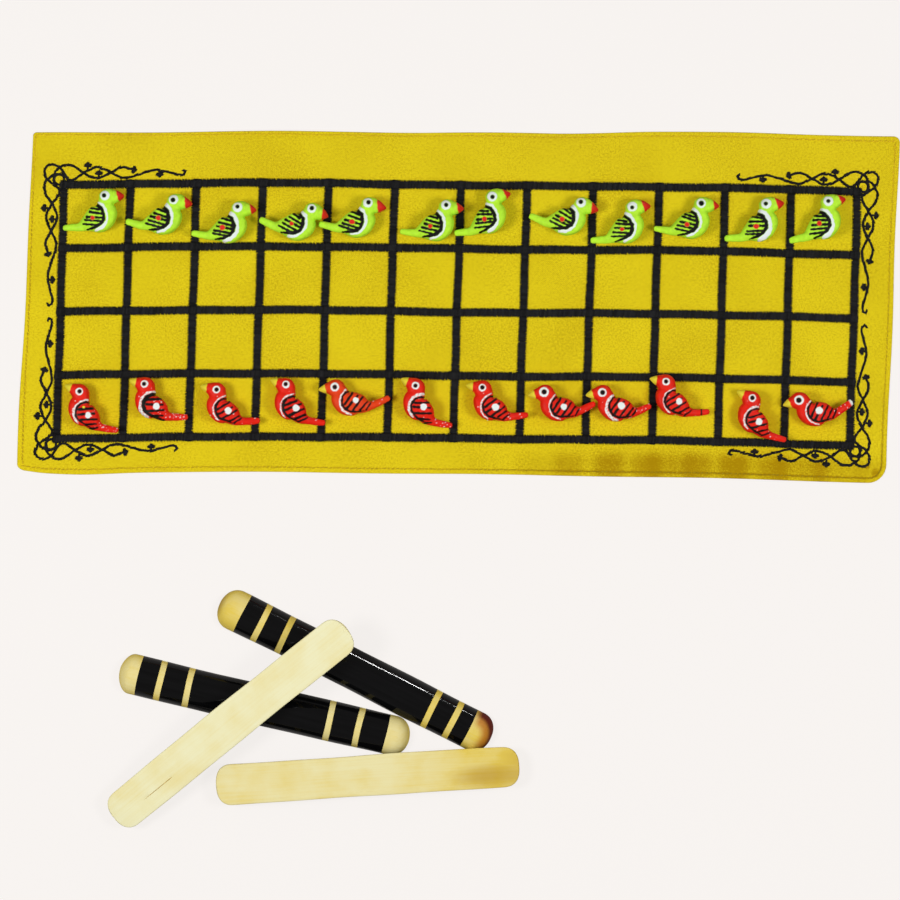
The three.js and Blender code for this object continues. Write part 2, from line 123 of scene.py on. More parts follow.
# Arms of the vines beyond the knot, in waves along the line and swings out from the arm's middle. A leaf
# also has the way that its stem points, in degrees
SHORT_WAVES = ((0.7, 0.0), (1.22, -1.0), (1.72, 0.0), (2.15, 1.0), (2.48, 0.65))
LONG_WAVES = (
    (0.7, 0.0), (1.22, 1.0), (1.72, 0.0), (2.2, -1.0), (2.85, -0.3), (3.4, 0.35), (3.9, -0.1), (4.3, -0.6),
    (4.45, -0.45), (4.5, 0.0), (4.42, 0.25),
)
LEAVES = ((0.86, 1.25, -90), (1.28, -0.25, -90), (2.55, 0.5, 165), (3.55, -0.3, 90))

# How each bird was set down, in degrees head-up
GREEN_TURNS = (3, -9, -4, -22, -11, -6, 12, -20, 6, -5, 7, 12)
RED_TURNS = (12.5, 4, 2, 10, -21, 15, -3, -22, -21, 1, 16, -31)

# How far each kind of bird lies from the middle of its place
GREEN_SHIFT = (-0.6, -0.6, 0.0)
RED_SHIFT = (0.6, -0.7, 0.0)

# Birds that lie further from the middle of their place than the rest, and how far
NUDGES = {
    "green_bird_2": (-0.8, 0.4, 0.0), "green_bird_8": (-0.8, 0.6, 0.0),
    "green_bird_10": (-0.9, 0.7, 0.0), "green_bird_12": (-0.9, -1.1, 0.0),
    "red_bird_5": (-1.3, 1.3, 0.0), "red_bird_7": (-0.5, 0.6, 0.0), "red_bird_8": (-1.2, 0.5, 0.0),
    "red_bird_9": (-1.6, 1.6, 0.0), "red_bird_10": (0.0, 0.7, 0.0), "red_bird_12": (0.0, 0.8, 0.0),
}

# Birds whose tails are shorter than the rest, and by how much; below 0 the tail is longer
TAIL_TRIMS = {"red_bird_5": -1.0, "red_bird_8": 0.8, "red_bird_9": 2.2, "green_bird_6": 1.0}

# Sticks by what sets them apart: fallen round side up, scorched, with paler caps, cracked, stained
ROUND_UP = (1, 2)
SCORCHED = 1
PALER = 2
CRACKED = 3
STAINED = 4

# How much fuller than round each stick's ends are, where 2 is round
STICK_FULLNESS = (2.2, 2.1, 2.6, 2.6)

# How the sticks fell, in degrees
STICK_HEADINGS = (-26.1, -12.8, 39.6, 4.1)

# How much shorter each stick's left end is than the rest
STICK_TRIMS = (0.0, 2.9, 0.0, 0.0)

# Crack in a flat face: where it starts and ends along the stick, how far to the side it is, half its width
# and its depth
CRACK = (-66.5, -45.5, 2.8)
CRACK_HALF = 0.3
CRACK_DEPTH = 0.35

# Width of the slope at a ring's edge, how much of a stick a shorter end draws in, and how far apart in one
# piece of wood the sticks take their grain
RING_LIP = 0.2
TRIM_REACH = 14.0
GRAIN_STEP = 60.0

# Each stick's left and right bare cap, with the distances from the cap's edge to the middles of its rings
STICK_BANDS = (
    ((14.3, 12.3, 27.4), (13.8, 10.4, 24.4)), ((14.4, 12.8, 29.4), (13.6, 16.4, 33.5)),
    ((14.2, 12.6, 28.0), (13.9, 12.2, 27.0)), ((14.0, 12.9, 28.6), (14.1, 13.0, 28.2)),
)

# Loft of a bird from tail tip to crown: middle x, y, half width, share of the half thickness
GREEN_STATIONS = (
    (-0.8, 0.2, 1.8, 0.22), (5, 0, 2.2, 0.3), (9.6, 0, 2.7, 0.42), (13.2, 1.6, 4.5, 0.72),
    (17.4, 3.2, 7.3, 1), (21.8, 5.0, 8.2, 1), (24.4, 9, 7.1, 0.97), (24.8, 13.2, 4.3, 0.86),
    (26.3, 16.5, 5.5, 0.88), (26.6, 19.4, 4.3, 0.7), (26.6, 21.2, 1.9, 0.32),
)
RED_STATIONS = (
    (-1.0, 1.1, 1.7, 0.22), (5, 0.5, 2.2, 0.3), (9.6, 0.3, 2.4, 0.4), (13, 1.2, 4.0, 0.68),
    (16.9, 4.2, 6.2, 1), (21.6, 5.8, 7.2, 1), (24.4, 9.8, 6.4, 0.97), (23.8, 13.7, 4.8, 0.88),
    (25.2, 17.2, 5.5, 0.88), (25.5, 20.1, 4.3, 0.7), (25.6, 21.9, 1.8, 0.32),
)

# How much flatter a bird's sides are than round ones, and how much fuller it is lofted than it ends up
FLATTENING = 2.3
FULLNESS = 1.015

# Beak loft: root x, y, radius; then the same for its middle and its tip
GREEN_BEAK = ((29.2, 16.5, 4.5), (32.5, 16.6, 3.0), (35.7, 16.7, 0.5))
RED_BEAK = ((28.1, 18.0, 3.9), (31.3, 18.6, 2.5), (34.6, 19.3, 0.45))

# How far to each side a painted edge fades
PAINT_EDGE = 0.16

# Painted strokes as points of x, y and width on the drawn bird
GREEN_COLLAR = (
    (18.6, 13.6, 0.9), (20.9, 13.3, 1.7), (23.0, 11.8, 2.1), (24.8, 9.1, 1.8), (25.7, 6.1, 1.2),
    (25.4, 3.3, 1.2), (23.9, 1.0, 1.6), (21.7, -0.9, 2.0), (18.8, -2.3, 1.3),
)
GREEN_CRESCENT = (
    (17.4, 11.9, 1.0), (19.7, 12.1, 1.7), (22.4, 10.2, 1.9), (23.9, 6.6, 1.8), (23.7, 3.4, 1.8),
    (21.6, 0.9, 1.8), (18.0, -0.9, 1.5), (13.7, -1.9, 0.8),
)
GREEN_STRIPES = (
    ((16.4, 10.5, 1.1), (21.2, 9.3, 1.3)), ((15.1, 8.0, 1.2), (22.6, 6.8, 1.3)),
    ((13.9, 5.5, 1.3), (22.8, 4.5, 1.3)), ((12.9, 3.2, 1.2), (21.9, 2.3, 1.3)),
    ((11.6, 1.3, 1.0), (19.7, 0.4, 1.2)),
)
RED_COLLAR = (
    (20.0, 13.8, 0.7), (23.0, 12.3, 1.0), (25.2, 10.0, 0.9), (26.2, 7.0, 0.9), (25.8, 3.6, 0.9),
    (24.2, 1.0, 0.9), (22.4, -0.3, 0.6),
)
RED_CRESCENT = (
    (17.5, 12.4, 0.8), (20.6, 12.3, 1.2), (23.3, 10.6, 1.3), (24.7, 8.2, 1.4), (24.9, 5.9, 1.4),
    (24.1, 3.2, 1.4), (21.9, 1.2, 1.3), (18.9, 0.0, 1.2), (14.5, -1.1, 0.7),
)
RED_STRIPES = (
    ((23.9, 6.3, 1.0), (17.5, 10.6, 0.8)), ((23.0, 3.7, 1.0), (15.4, 8.2, 0.8)),
    ((20.4, 1.2, 1.0), (12.8, 6.2, 0.7)), ((16.6, 0.2, 0.9), (11.6, 3.2, 0.7)),
    ((13.6, -1.1, 0.8), (9.8, 1.6, 0.6)),
)

# Middles of the dot on the wing and of the eye, and the point that a red wing's stripes are turned about
GREEN_DOT = (17.8, 4.9)
GREEN_EYE = (25.0, 17.3)
RED_DOT = (17.5, 6.0)
RED_EYE = (25.2, 17.6)
RED_PIVOT = (17.8, 5.5)

# Red birds by what sets them apart: a drop of yellow, an orange tinge, a ring on the tail, a white tail tip
DRIPPED = 1
TINGED = 5
RINGED = 10
TIPPED = 12

# How single birds are painted apart from the rest, by their numbers: widths of the collar, of the wing's
# outline and of its stripes, degrees that the stripes are turned, flecks of paint, and the eye's radius
GREEN_COLLARS = {1: 0.8, 3: 1.35, 6: 1.1, 8: 1.3, 10: 0.75, 11: 1.45, 12: 1.25}
RED_COLLARS = {1: 1.6, 2: 3.4, 5: 1.4, 6: 1.8, 9: 1.8, 11: 1.3}
RED_OUTLINES = {2: 1.6, 3: 1.1, 4: 1.2}
RED_LINES = {1: 1.7, 2: 1.8, 4: 1.8}
RED_TWISTS = {1: 15, 2: 27, 6: 19}
RED_FLECKS = {1: 34, 2: 70, 3: 8, 6: 30, 7: 18, 9: 22, 11: 18, 12: 20}
RED_EYES = {5: 2.5, 8: 2.8, 9: 2.5, 12: 2.7}

# Floor: its span in metres, how dark it is to the light, and the glow and its share that the camera sees
FLOOR_SPAN = 12.0
FLOOR_SHADE = 0.5
FLOOR_GLOW = 1.165
GLOW_SHARE = 0.76

# Narrow slit of light: the place that it lights, its heading and rise in degrees from there, its size in
# metres and its power
SLIT_LIT = (-24.0, -213.0, 10.0)
SLIT_HEADING = 26.0
SLIT_RISE = 12.0
SLIT_SIZE = (0.105, 0.02)
SLIT_POWER = 2.1

# Camera: the middle of the picture on the floor, its turn in radians and its sensor
VIEW_MIDDLE = (-3.35, -79.6)
VIEW_TURN = 0.0095
SENSOR = 36.0


def linear(code):
    """Turn an sRGB hex colour into linear red, green and blue."""
    shares = [int(code[i:i + 2], 16) / 255 for i in (1, 3, 5)]
    return tuple(c / 12.92 if c <= 0.04045 else ((c + 0.055) / 1.055) ** 2.4 for c in shares)


def length(title, text, millimetres):
    """A length that a user may change."""
    return bpy.props.FloatProperty(
        name=title, description=text, default=millimetres * MM, min=0.0, precision=5, unit="LENGTH")


def colour(title, text, code):
    """A colour that a user may change."""
    return bpy.props.FloatVectorProperty(
        name=title, description=text, default=linear(code), min=0.0, max=1.0, size=3, subtype="COLOR")


class MatSettings(bpy.types.PropertyGroup):
    """Sizes and colours of the mat and its needlework."""

    cloth: colour("Cloth", "Colour of the dyed cotton", "#E9D31C")
    cloth_deep: colour("Deep cloth", "Colour of the cotton where it takes less light", "#AE8A02")
    hem_thread: colour("Hem thread", "Colour of the topstitch near the edge", "#BFA21C")
    black_thread: colour("Black thread", "Colour of the embroidery thread", "#0F0F10")
    weave: length("Weave", "Distance between threads of the cloth as drawn", 1.15)
    line_width: length("Line width", "Length of a satin stitch across a grid line", 4.4)
    satin_pitch: length("Satin pitch", "Distance between satin stitches", 0.85)
    satin_height: length("Satin height", "Height of the satin stitches above the cloth", 0.5)
    stem_pitch: length("Stem pitch", "Distance between the stitches of a vine", 1.6)
    stem_length: length("Stem length", "Length of a stitch of a vine", 2.6)
    stem_width: length("Stem width", "Width of a stitch of a vine", 1.3)
    hem_pitch: length("Hem pitch", "Distance between stitches of the hem", 2.4)


class BirdSettings(bpy.types.PropertyGroup):
    """Sizes and colours of the bird pieces."""

    green: colour("Green", "Body paint of the green birds", "#B8F135")
    red: colour("Red", "Body paint of the red birds", "#E22110")
    white: colour("White", "Paint of the collars, eyes and dots", "#ECF5F2")
    black: colour("Black", "Paint of the wings and pupils", "#0D0C0B")
    green_beak: colour("Green bird's beak", "Paint of the green birds' beaks and dots", "#DE2A1E")
    red_beak: colour("Red bird's beak", "Paint of the red birds' beaks", "#F0E03C")
    thickness: length("Thickness", "Thickness of a bird lying on its side", 12.0)
    grain: length("Surface step", "Distance between points of the carved surface", 0.4)
    relief: length("Paint relief", "How far the thick paint stands up", 0.16)


class StickSettings(bpy.types.PropertyGroup):
    """Sizes and colours of the throwing sticks."""

    size: length("Length", "Length of a stick", 174.0)
    width: length("Width", "Width of a stick's flat face", 23.5)
    rise: length("Rise", "Height of a stick's round back", 11.0)
    end_round: length("End rounding", "Length of a stick's rounded end", 10.0)
    edge: length("Edge", "Rounding of the rim between flat face and back", 0.8)
    ring_width: length("Ring width", "Width of a bare ring in the lacquer", 3.5)
    ring_depth: length("Ring depth", "How far a bare ring lies below the lacquer", 0.25)
    wood: colour("Wood", "Colour of the sanded flat face", "#F4F1C6")
    wood_deep: colour("Deep wood", "Colour of the round ends and of the grain", "#E8CD58")
    lacquer: colour("Lacquer", "Colour of the lacquered back", "#0A0A0B")


class StageSettings(bpy.types.PropertyGroup):
    """Floor, light and camera."""

    floor: colour("Floor", "Colour of the floor and of the sky behind it", "#F8F4F1")
    view_width: length("View width", "Width of floor that the picture shows", 517.6)
    camera_height: length("Camera height", "Height of the camera above the floor", 2600.0)
    lamp_reach: length("Lamp reach", "How far to each side the soft lamps stand", 750.0)
    lamp_height: length("Lamp height", "Height of the soft lamps above the floor", 1100.0)
    lamp_size: length("Lamp size", "Width of a soft lamp", 400.0)
    lamp_nearer: length("Lamp nearer", "How far the soft lamps stand to the near side", 150.0)
    key: bpy.props.FloatProperty(
        name="Key", description="Share of the light that comes from the soft lamps", default=0.705, min=0.0)
    sky: bpy.props.FloatProperty(
        name="Sky", description="Share of the light that comes from all round", default=0.275, min=0.0)


def clear_selection():
    """Leave nothing selected, in object mode."""
    if bpy.context.mode != "OBJECT":
        bpy.ops.object.mode_set(mode="OBJECT")
    bpy.ops.object.select_all(action="DESELECT")


def activate(piece):
    """Make one piece the only selected and active one."""
    clear_selection()
    piece.select_set(True)
    bpy.context.view_layer.objects.active = piece


def named(name):
    """Name the newly added object and its mesh."""
    piece = bpy.context.object
    piece.name = name
    piece.data.name = name
    return piece


def edit(piece):
    """Open a piece in edit mode."""
    activate(piece)
    bpy.ops.object.mode_set(mode="EDIT")


def select_all():
    """Select all of the piece in edit mode."""
    bpy.ops.mesh.select_all(action="SELECT")


def face_outwards():
    """Turn all faces of the piece in edit mode outwards."""
    select_all()
    bpy.ops.mesh.normals_make_consistent(inside=False)


def close():
    """Leave edit mode."""
    bpy.ops.object.mode_set(mode="OBJECT")


def choose(piece, kind, test):
    """Select in edit mode the verts or edges whose points pass a test of their places."""
    modes = {"verts": "VERT", "edges": "EDGE"}
    bpy.ops.mesh.select_mode(type=modes[kind])
    bpy.ops.mesh.select_all(action="DESELECT")
    shell = bmesh.from_edit_mesh(piece.data)
    for part in getattr(shell, kind):
        points = [part] if kind == "verts" else part.verts
        part.select_set(test([point.co for point in points]))
    shell.select_flush_mode()
    bmesh.update_edit_mesh(piece.data)


def cut(plane_co, plane_no, **settings):
    """Bisect all of the piece in edit mode, in metres."""
    select_all()
    bpy.ops.mesh.bisect(plane_co=plane_co, plane_no=plane_no, threshold=CUT_TOLERANCE * MM, **settings)


def apply_modifier(piece, kind, **settings):
    """Add a modifier with its settings and apply it."""
    activate(piece)
    modifier = piece.modifiers.new(kind.lower(), kind)
    for key, value in settings.items():
        setattr(modifier, key, value)
    bpy.ops.object.modifier_apply(modifier=modifier.name)


def copy_of(piece, name):
    """A copy of a piece with its own mesh."""
    copy = piece.copy()
    copy.data = piece.data.copy()
    copy.name = name
    copy.data.name = name
    bpy.context.scene.collection.objects.link(copy)
    return copy


def points_of(piece):
    """A mesh's points as an array of millimetres."""
    points = np.empty(len(piece.data.vertices) * 3)
    piece.data.vertices.foreach_get("co", points)
    return points.reshape(-1, 3) / MM


def set_points(piece, points):
    """Move a mesh's points to an array of millimetres."""
    piece.data.vertices.foreach_set("co", (points * MM).astype(np.float32).ravel())
    piece.data.update()


def normals_of(piece):
    """A mesh's point normals."""
    normals = np.empty(len(piece.data.vertices) * 3)
    piece.data.vertex_normals.foreach_get("vector", normals)
    return normals.reshape(-1, 3)


def mark(piece, name, values):
    """Keep one number per point for a material to read."""
    attribute = piece.data.attributes.new(name, "FLOAT", "POINT")
    attribute.data.foreach_set("value", np.asarray(values, np.float32))


def hand_over(piece, body, slot, node, *materials):
    """Give a finished piece its materials and body, and hide the node that it stands for. The slot is not
    used.
    """
    for material in materials:
        piece.data.materials.append(material)
    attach(piece, body)
    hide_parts(node)


def seat(points, node):
    """Shift points so that they are centred on a node and stand as low as it does."""
    low, high = (np.array(corner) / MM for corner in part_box(node))
    middle = (points.min(0) + points.max(0)) / 2
    shift = (low + high) / 2 - middle
    shift[2] = low[2] - points[:, 2].min()
    return points + shift


def smooth(start, end, value):
    """Smooth step from 0 at start to 1 at end."""
    share = np.clip((value - start) / (end - start), 0, 1)
    return share * share * (3 - 2 * share)


def hump(value, middle, width):
    """A soft hump: 1 at its middle and about a third of that a width away."""
    return np.exp(-((value - middle) / width) ** 2)


def pointing(heading):
    """A step of 1 in a direction."""
    return np.array([math.cos(heading), math.sin(heading)])


def new_material(name):
    """A material with an empty principled surface; gives the material, its tree and its shader."""
    material = bpy.data.materials.new(name)
    material.use_nodes = True
    tree = material.node_tree
    return material, tree, tree.nodes["Principled BSDF"]


def feed(tree, node, inputs):
    """Set or link a node's inputs by name or place."""
    for socket, value in inputs.items():
        if isinstance(value, bpy.types.NodeSocket):
            tree.links.new(value, node.inputs[socket])
        else:
            node.inputs[socket].default_value = value


def add_node(tree, kind, inputs=None, **settings):
    """Add a node, set it and feed its inputs."""
    node = tree.nodes.new(kind)
    for key, value in settings.items():
        setattr(node, key, value)
    feed(tree, node, inputs or {})
    return node


def marked(tree, name, output="Fac"):
    """What each point of a mesh keeps under a name."""
    return add_node(tree, "ShaderNodeAttribute", attribute_name=name).outputs[output]


def cloudy(tree, place, scale, detail, roughness=0.5):
    """Uneven values round 0.5; a scale for each axis stretches them."""
    if isinstance(scale, tuple):
        place = add_node(tree, "ShaderNodeMapping", {"Vector": place, "Scale": scale}).outputs[0]
        scale = 1.0
    inputs = {"Vector": place, "Scale": scale, "Detail": detail, "Roughness": roughness}
    return add_node(tree, "ShaderNodeTexNoise", inputs).outputs["Fac"]


def worked(tree, operation, *values, clamp=False):
    """The outcome of an operation on values."""
    inputs = dict(enumerate(values))
    return add_node(tree, "ShaderNodeMath", inputs, operation=operation, use_clamp=clamp).outputs[0]


def spread(tree, value, low, high, start=0.0, end=1.0):
    """Stretch a value's range from low and high to start and end, and hold it there."""
    return add_node(tree, "ShaderNodeMapRange", {0: value, 1: low, 2: high, 3: start, 4: end}).outputs[0]


def blend(tree, share, under, over):
    """One colour with a share of another over it."""
    return add_node(tree, "ShaderNodeMix", {0: share, 6: under, 7: over}, data_type="RGBA").outputs[2]


def bumps(tree, height, strength, depth):
    """Bumps that follow a height, with their depth in millimetres."""
    inputs = {"Height": height, "Strength": strength, "Distance": depth * MM}
    return add_node(tree, "ShaderNodeBump", inputs).outputs[0]


def opaque(rgb, strength=1.0):
    """A colour with full alpha, made lighter or darker."""
    return (*(min(1.0, c * strength) for c in rgb), 1.0)


def band_scale(pitch):
    """Scale of a wave texture whose bands are a distance apart, in metres."""
    return math.pi / 10 / pitch


def dyed_cotton(settings):
    # Plain-weave cotton, dyed in the piece: matt, with a fine tabby of uneven yarns. The real weave is
    # about 0.5 mm and too fine to show, so it is drawn coarser
    material, tree, shader = new_material("dyed_plain_weave_cotton")
    place = add_node(tree, "ShaderNodeTexCoord").outputs["Object"]
    weave = {"Vector": place, "Scale": band_scale(settings.weave), "Distortion": 1.2, "Detail": 1.0}
    ways = []
    for axis in ("X", "Y"):
        threads = add_node(tree, "ShaderNodeTexWave", weave, bands_direction=axis).outputs["Fac"]
        ways.append(worked(tree, "SUBTRACT", threads, 0.5))
    tabby = worked(tree, "MULTIPLY", *ways)
    slubs = [cloudy(tree, place, stretch, 2.0) for stretch in ((750.0, 1650.0, 1.0), (1650.0, 750.0, 1.0))]
    yarn = worked(tree, "ADD", *slubs)
    worn = spread(tree, cloudy(tree, place, 22.0, 3.0), 0.3, 0.7, 0.02, 0.3)
    spun = spread(tree, yarn, 0.7, 1.3, -0.4, 0.44)
    # The cotton deepens with painted shade in the margin's folds, along the hem and beside the grid lines,
    # and with two stains
    deep = worked(tree, "MULTIPLY_ADD", tabby, 0.7, marked(tree, "shade"))
    deep = worked(tree, "ADD", deep, worn)
    deep = worked(tree, "ADD", deep, spun, clamp=True)
    feed(tree, shader, {
        "Base Color": blend(tree, deep, opaque(settings.cloth), opaque(settings.cloth_deep)),
        "Normal": bumps(tree, worked(tree, "MULTIPLY_ADD", yarn, 0.5, tabby), 0.35, 0.15),
        "Roughness": 0.92, "Specular IOR Level": 0.08,
    })
    return material


def sewing_thread(name, rgb, lift):
    # Twisted cotton thread: each stitch a slightly different tone, with a soft satin sheen along it. Its
    # fibres are too fine to show, so they are drawn about 1 mm apart
    material, tree, shader = new_material(name)
    place = add_node(tree, "ShaderNodeTexCoord").outputs["Object"]
    fibre = cloudy(tree, place, 900.0, 3.0)
    share = spread(tree, worked(tree, "MULTIPLY_ADD", fibre, 1.6, marked(tree, "tone")), 0.6, 2.0)
    feed(tree, shader, {
        "Base Color": blend(tree, share, opaque(rgb, 0.7), opaque(rgb, lift)),
        "Normal": bumps(tree, fibre, 0.4, 0.1), "Roughness": 0.7, "Specular IOR Level": 0.1,
    })
    return material


def black_cotton(settings):
    """The black thread of the grid and the vines, made by whichever is sewn first."""
    name = "black_embroidery_cotton"
    return bpy.data.materials.get(name) or sewing_thread(name, settings.black_thread, 3.6)


def painted_wood(name, body, accent, settings):
    # Carved softwood under brushed gloss paint: thick strokes stand up, the body coat is a little streaky
    material, tree, shader = new_material(name)
    place = add_node(tree, "ShaderNodeTexCoord").outputs["Object"]
    brush = cloudy(tree, place, 420.0, 3.0)
    paint = blend(tree, spread(tree, brush, 0.3, 0.7), opaque(body, 0.94), opaque(body, 1.14))
    for layer, rgb in (("white", settings.white), ("black", settings.black), ("accent", accent)):
        paint = blend(tree, marked(tree, layer), paint, opaque(rgb))
    feed(tree, shader, {
        "Base Color": paint, "Normal": bumps(tree, cloudy(tree, place, 1100.0, 2.0), 0.3, 0.2),
        "Roughness": spread(tree, brush, 0.3, 0.7, 0.4, 0.56), "Specular IOR Level": 0.12,
    })
    return material


def bare_wood(settings):
    # Sanded pale softwood: long faint grain along the stick, golden round ends, and scorch and stain where
    # it was handled
    material, tree, shader = new_material("sanded_pale_softwood")
    along = marked(tree, "along", "Vector")
    fine = cloudy(tree, along, (30.0, 900.0, 900.0), 2.0, 0.55)
    broad = spread(tree, cloudy(tree, along, (9.0, 260.0, 260.0), 4.0, 0.55), 0.35, 0.75, 0.0, 0.14)
    narrow = spread(tree, fine, 0.45, 0.8, 0.0, 0.15)
    drift = spread(tree, cloudy(tree, along, 55.0, 4.0), 0.4, 0.7, 0.0, 0.3)
    deep = worked(tree, "ADD", broad, narrow)
    deep = worked(tree, "ADD", deep, drift)
    deep = worked(tree, "ADD", deep, marked(tree, "gold"), clamp=True)
    tone = blend(tree, deep, opaque(settings.wood), opaque(settings.wood_deep))
    for layer, code in (("stain", "#B88D26"), ("singe", "#C06F14"), ("scorch", "#641C06")):
        tone = blend(tree, marked(tree, layer), tone, opaque(linear(code)))
    feed(tree, shader, {
        "Base Color": tone, "Normal": bumps(tree, fine, 0.15, 0.15),
        "Roughness": 0.55, "Specular IOR Level": 0.12,
    })
    return material


def black_lacquer(settings):
    # Brushed black lacquer on turned wood: deep gloss, with faint streaks along the stick
    material, tree, shader = new_material("brushed_black_lacquer")
    streak = cloudy(tree, marked(tree, "along", "Vector"), (25.0, 420.0, 420.0), 3.0)
    dark, light = opaque(settings.lacquer, 0.75), opaque(settings.lacquer, 1.5)
    feed(tree, shader, {
        "Base Color": blend(tree, spread(tree, streak, 0.35, 0.75), dark, light),
        "Normal": bumps(tree, streak, 0.12, 0.2),
        "Roughness": spread(tree, streak, 0.3, 0.8, 0.06, 0.13), "Specular IOR Level": 0.2,
    })
    return material


def lay(x, y):
    """Where points of the flat mat lie: askew, bowed, and with edges that wander."""
    # The rows stray a little, and the lowest one most
    wander = 0.4 * np.cos((x + 114) / 42.3) * (1 - smooth(80, 100, np.abs(y)))
    wander += 0.6 * hump(x, 20, 110) * smooth(-45, -70, y) * (1 - smooth(-80, -92, y))
    # The long edges wave, the upper one stands higher to the right, and the lower left corner turns in
    edge = 0.35 * np.sin(x / 21.0 + 0.6) * smooth(80, 104, np.abs(y))
    edge += (1.9 * smooth(50, 110, x) - 0.5 * smooth(-70, -20, x)) * smooth(86, 104, y)
    corner = 1.6 * hump(x, -249, 9) - 1.3 * hump(x, -214, 24)
    bowed = y - LAY_BOW * (x / GRID_HALF[0]) ** 2 + wander + edge + corner * smooth(-80, -93, y)
    side = (0.35 * np.sin(y / 17.0 + 2.0) - 0.5) * smooth(236, 251, np.abs(x))
    side -= 1.3 * smooth(40, -60, y) * smooth(-236, -249, x)
    return x + LAY_SHEAR * bowed + side, bowed


def side_distances(x, y):
    """Distance in from the bottom, right, top and left cut edges."""
    distances = []
    for i, (start, _) in enumerate(CORNERS):
        end = CORNERS[(i + 1) % 4][0]
        run = math.hypot(end[0] - start[0], end[1] - start[1])
        across = (end[0] - start[0]) * (y - start[1]) - (end[1] - start[1]) * (x - start[0])
        distances.append(across / run)
    return distances


def edge_distance(x, y):
    """Distance in from the rounded outline."""
    distances = side_distances(x, y)
    nearest = np.minimum.reduce(distances)
    for i, (_, radius) in enumerate(CORNERS):
        after = distances[i]
        before = distances[(i + 3) % 4]
        rounded = radius - np.hypot(radius - after, radius - before)
        nearest = np.where((after < radius) & (before < radius), rounded, nearest)
    return nearest


def margin_fold(x, y):
    """How much of the loose lower right margin's folds reach a point."""
    across = smooth(5, 110, x) * (1 - smooth(195, 236, x))
    return across * smooth(-75.5, -85, y)


def off_line(place, pitch):
    """Distance to the nearest of the lines that lie a pitch apart."""
    return np.abs(place / pitch - np.round(place / pitch)) * pitch


def line_distance(x, y):
    """Distance to the nearest grid line, or to the grid from outside it."""
    nearest = np.minimum(off_line(x, SQUARE[0]), off_line(y, SQUARE[1]))
    outside = np.maximum(np.abs(x) - GRID_HALF[0], np.abs(y) - GRID_HALF[1])
    return np.where(outside > 0, outside, nearest)


def margin_wave(x):
    """Folds that run in from the lower right edge, unevenly spaced: 1 on a fold, -1 between folds."""
    return 0.75 * np.cos((x - 150.5) / 3.87) + 0.25 * np.sin(x / 1.7 + np.sin(x / 21.0))


def cloth_rise(x, y):
    """Height of the mat's upper face over a point of the flat mat."""
    distance = edge_distance(x, y)
    rise = CLOTH_TOP - 0.2 * hump(line_distance(x, y), 0, 3.4)
    rise -= 0.05 * (1 - np.sin(x / 37.0 + 0.8) * np.cos(y / 29.0 + 0.3))
    top_folds = 1.6 + np.sin((x + 1.1 * y) / 8.5) + 0.6 * np.sin((x - 0.7 * y) / 13.0 + 2.0)
    rise += 0.28 * top_folds * smooth(82, 101, y) * (0.4 + 0.6 * smooth(20, 150, x))
    pucker = 1 + np.sin(y / 1.35 + 1.5 * np.sin(y / 11.0))
    rise += 0.14 * pucker * smooth(238, 249, x)
    fold = margin_fold(x, y)
    rise += fold * (0.5 * margin_wave(x) + 0.6) + 0.5 * fold * smooth(-86, -94, y)
    rise -= 0.12 * (1 - smooth(0, 9, distance)) + 0.16 * hump(distance, HEM_INSET, 0.7)
    roll = np.clip(1 - distance / 0.9, 0, 1)
    return rise - 0.4 * (1 - np.sqrt(1 - 0.98 * roll ** 2))


def painted_cloth_shade_and_stains(x, y):
    """Painted shade in the loose margin's folds, along the hem and beside the grid lines, and two stains.
    """
    distance = edge_distance(x, y)
    # Painted shade over the loose lower right margin, darkest between its folds and along the margin's
    # middle
    fold = smooth(5, 110, x) * (1 - 0.6 * smooth(200, 246, x)) * smooth(-75.5, -85, y)
    deep = 0.52 - 0.32 * margin_wave(x) + 0.16 * hump(y, -86, 5)
    shade = fold * np.clip(deep, 0, 1)
    # Painted shade along the hem's groove, strongest towards the lower right
    seam = 0.06 + 0.5 * smooth(-20, -85, y) * smooth(-60, 120, x)
    shade += seam * hump(distance, HEM_INSET, 0.6)
    # Two real stains near the lower right corner
    for spot_x, spot_y, radius in ((238.5, -85.0, 1.3), (243.5, -88.0, 1.8)):
        shade += 1.1 * hump(np.hypot(x - spot_x, y - spot_y), 0, radius)
    # Painted shade beside the raised grid lines
    shade += 0.12 * hump(line_distance(x, y), 2.4, 1.2)
    return np.clip(shade, 0, 1)


def edge_stops(size, step):
    """Stops across the cloth: close together at both edges, for the rolled and sewn hem."""
    near = np.array(HEM_STOPS)
    count = max(2, round((size - 2 * near[-1]) / step))
    middle = np.linspace(near[-1], size - near[-1], count + 1)[1:-1]
    return np.concatenate([near, middle, size - near[::-1]]) / size


def cut_panel(name, step, inset):
    """A panel, and where its points lie on the flat mat when it is cut to the rounded outline."""
    stops = [edge_stops(size, step) for size in PANEL_SPAN]
    clear_selection()
    bpy.ops.mesh.primitive_grid_add(
        x_subdivisions=len(stops[0]) - 1, y_subdivisions=len(stops[1]) - 1, size=2)
    panel = named(name)
    grid = points_of(panel)[:, :2] * MM / 2 + 0.5
    share = []
    for axis in (0, 1):
        places = np.linspace(0, 1, len(stops[axis]))
        share.append(np.interp(grid[:, axis], places, stops[axis])[:, None])
    corners = [(np.array(corner), radius) for corner, radius in CORNERS]
    below = corners[0][0] * (1 - share[0]) + corners[1][0] * share[0]
    above = corners[3][0] * (1 - share[0]) + corners[2][0] * share[0]
    flat = below * (1 - share[1]) + above * share[1]
    for corner, radius in corners:
        inward = -np.sign(corner)
        reach = radius - inward * (flat - corner)
        rounded = reach * np.sqrt(1 - np.clip(reach[:, ::-1] / radius, 0, 1) ** 2 / 2)
        inside = (reach > 0).all(1)
        flat = np.where(inside[:, None], corner + inward * (radius - rounded), flat)
    return panel, flat * (1 - inset / (np.array(PANEL_SPAN) / 2))


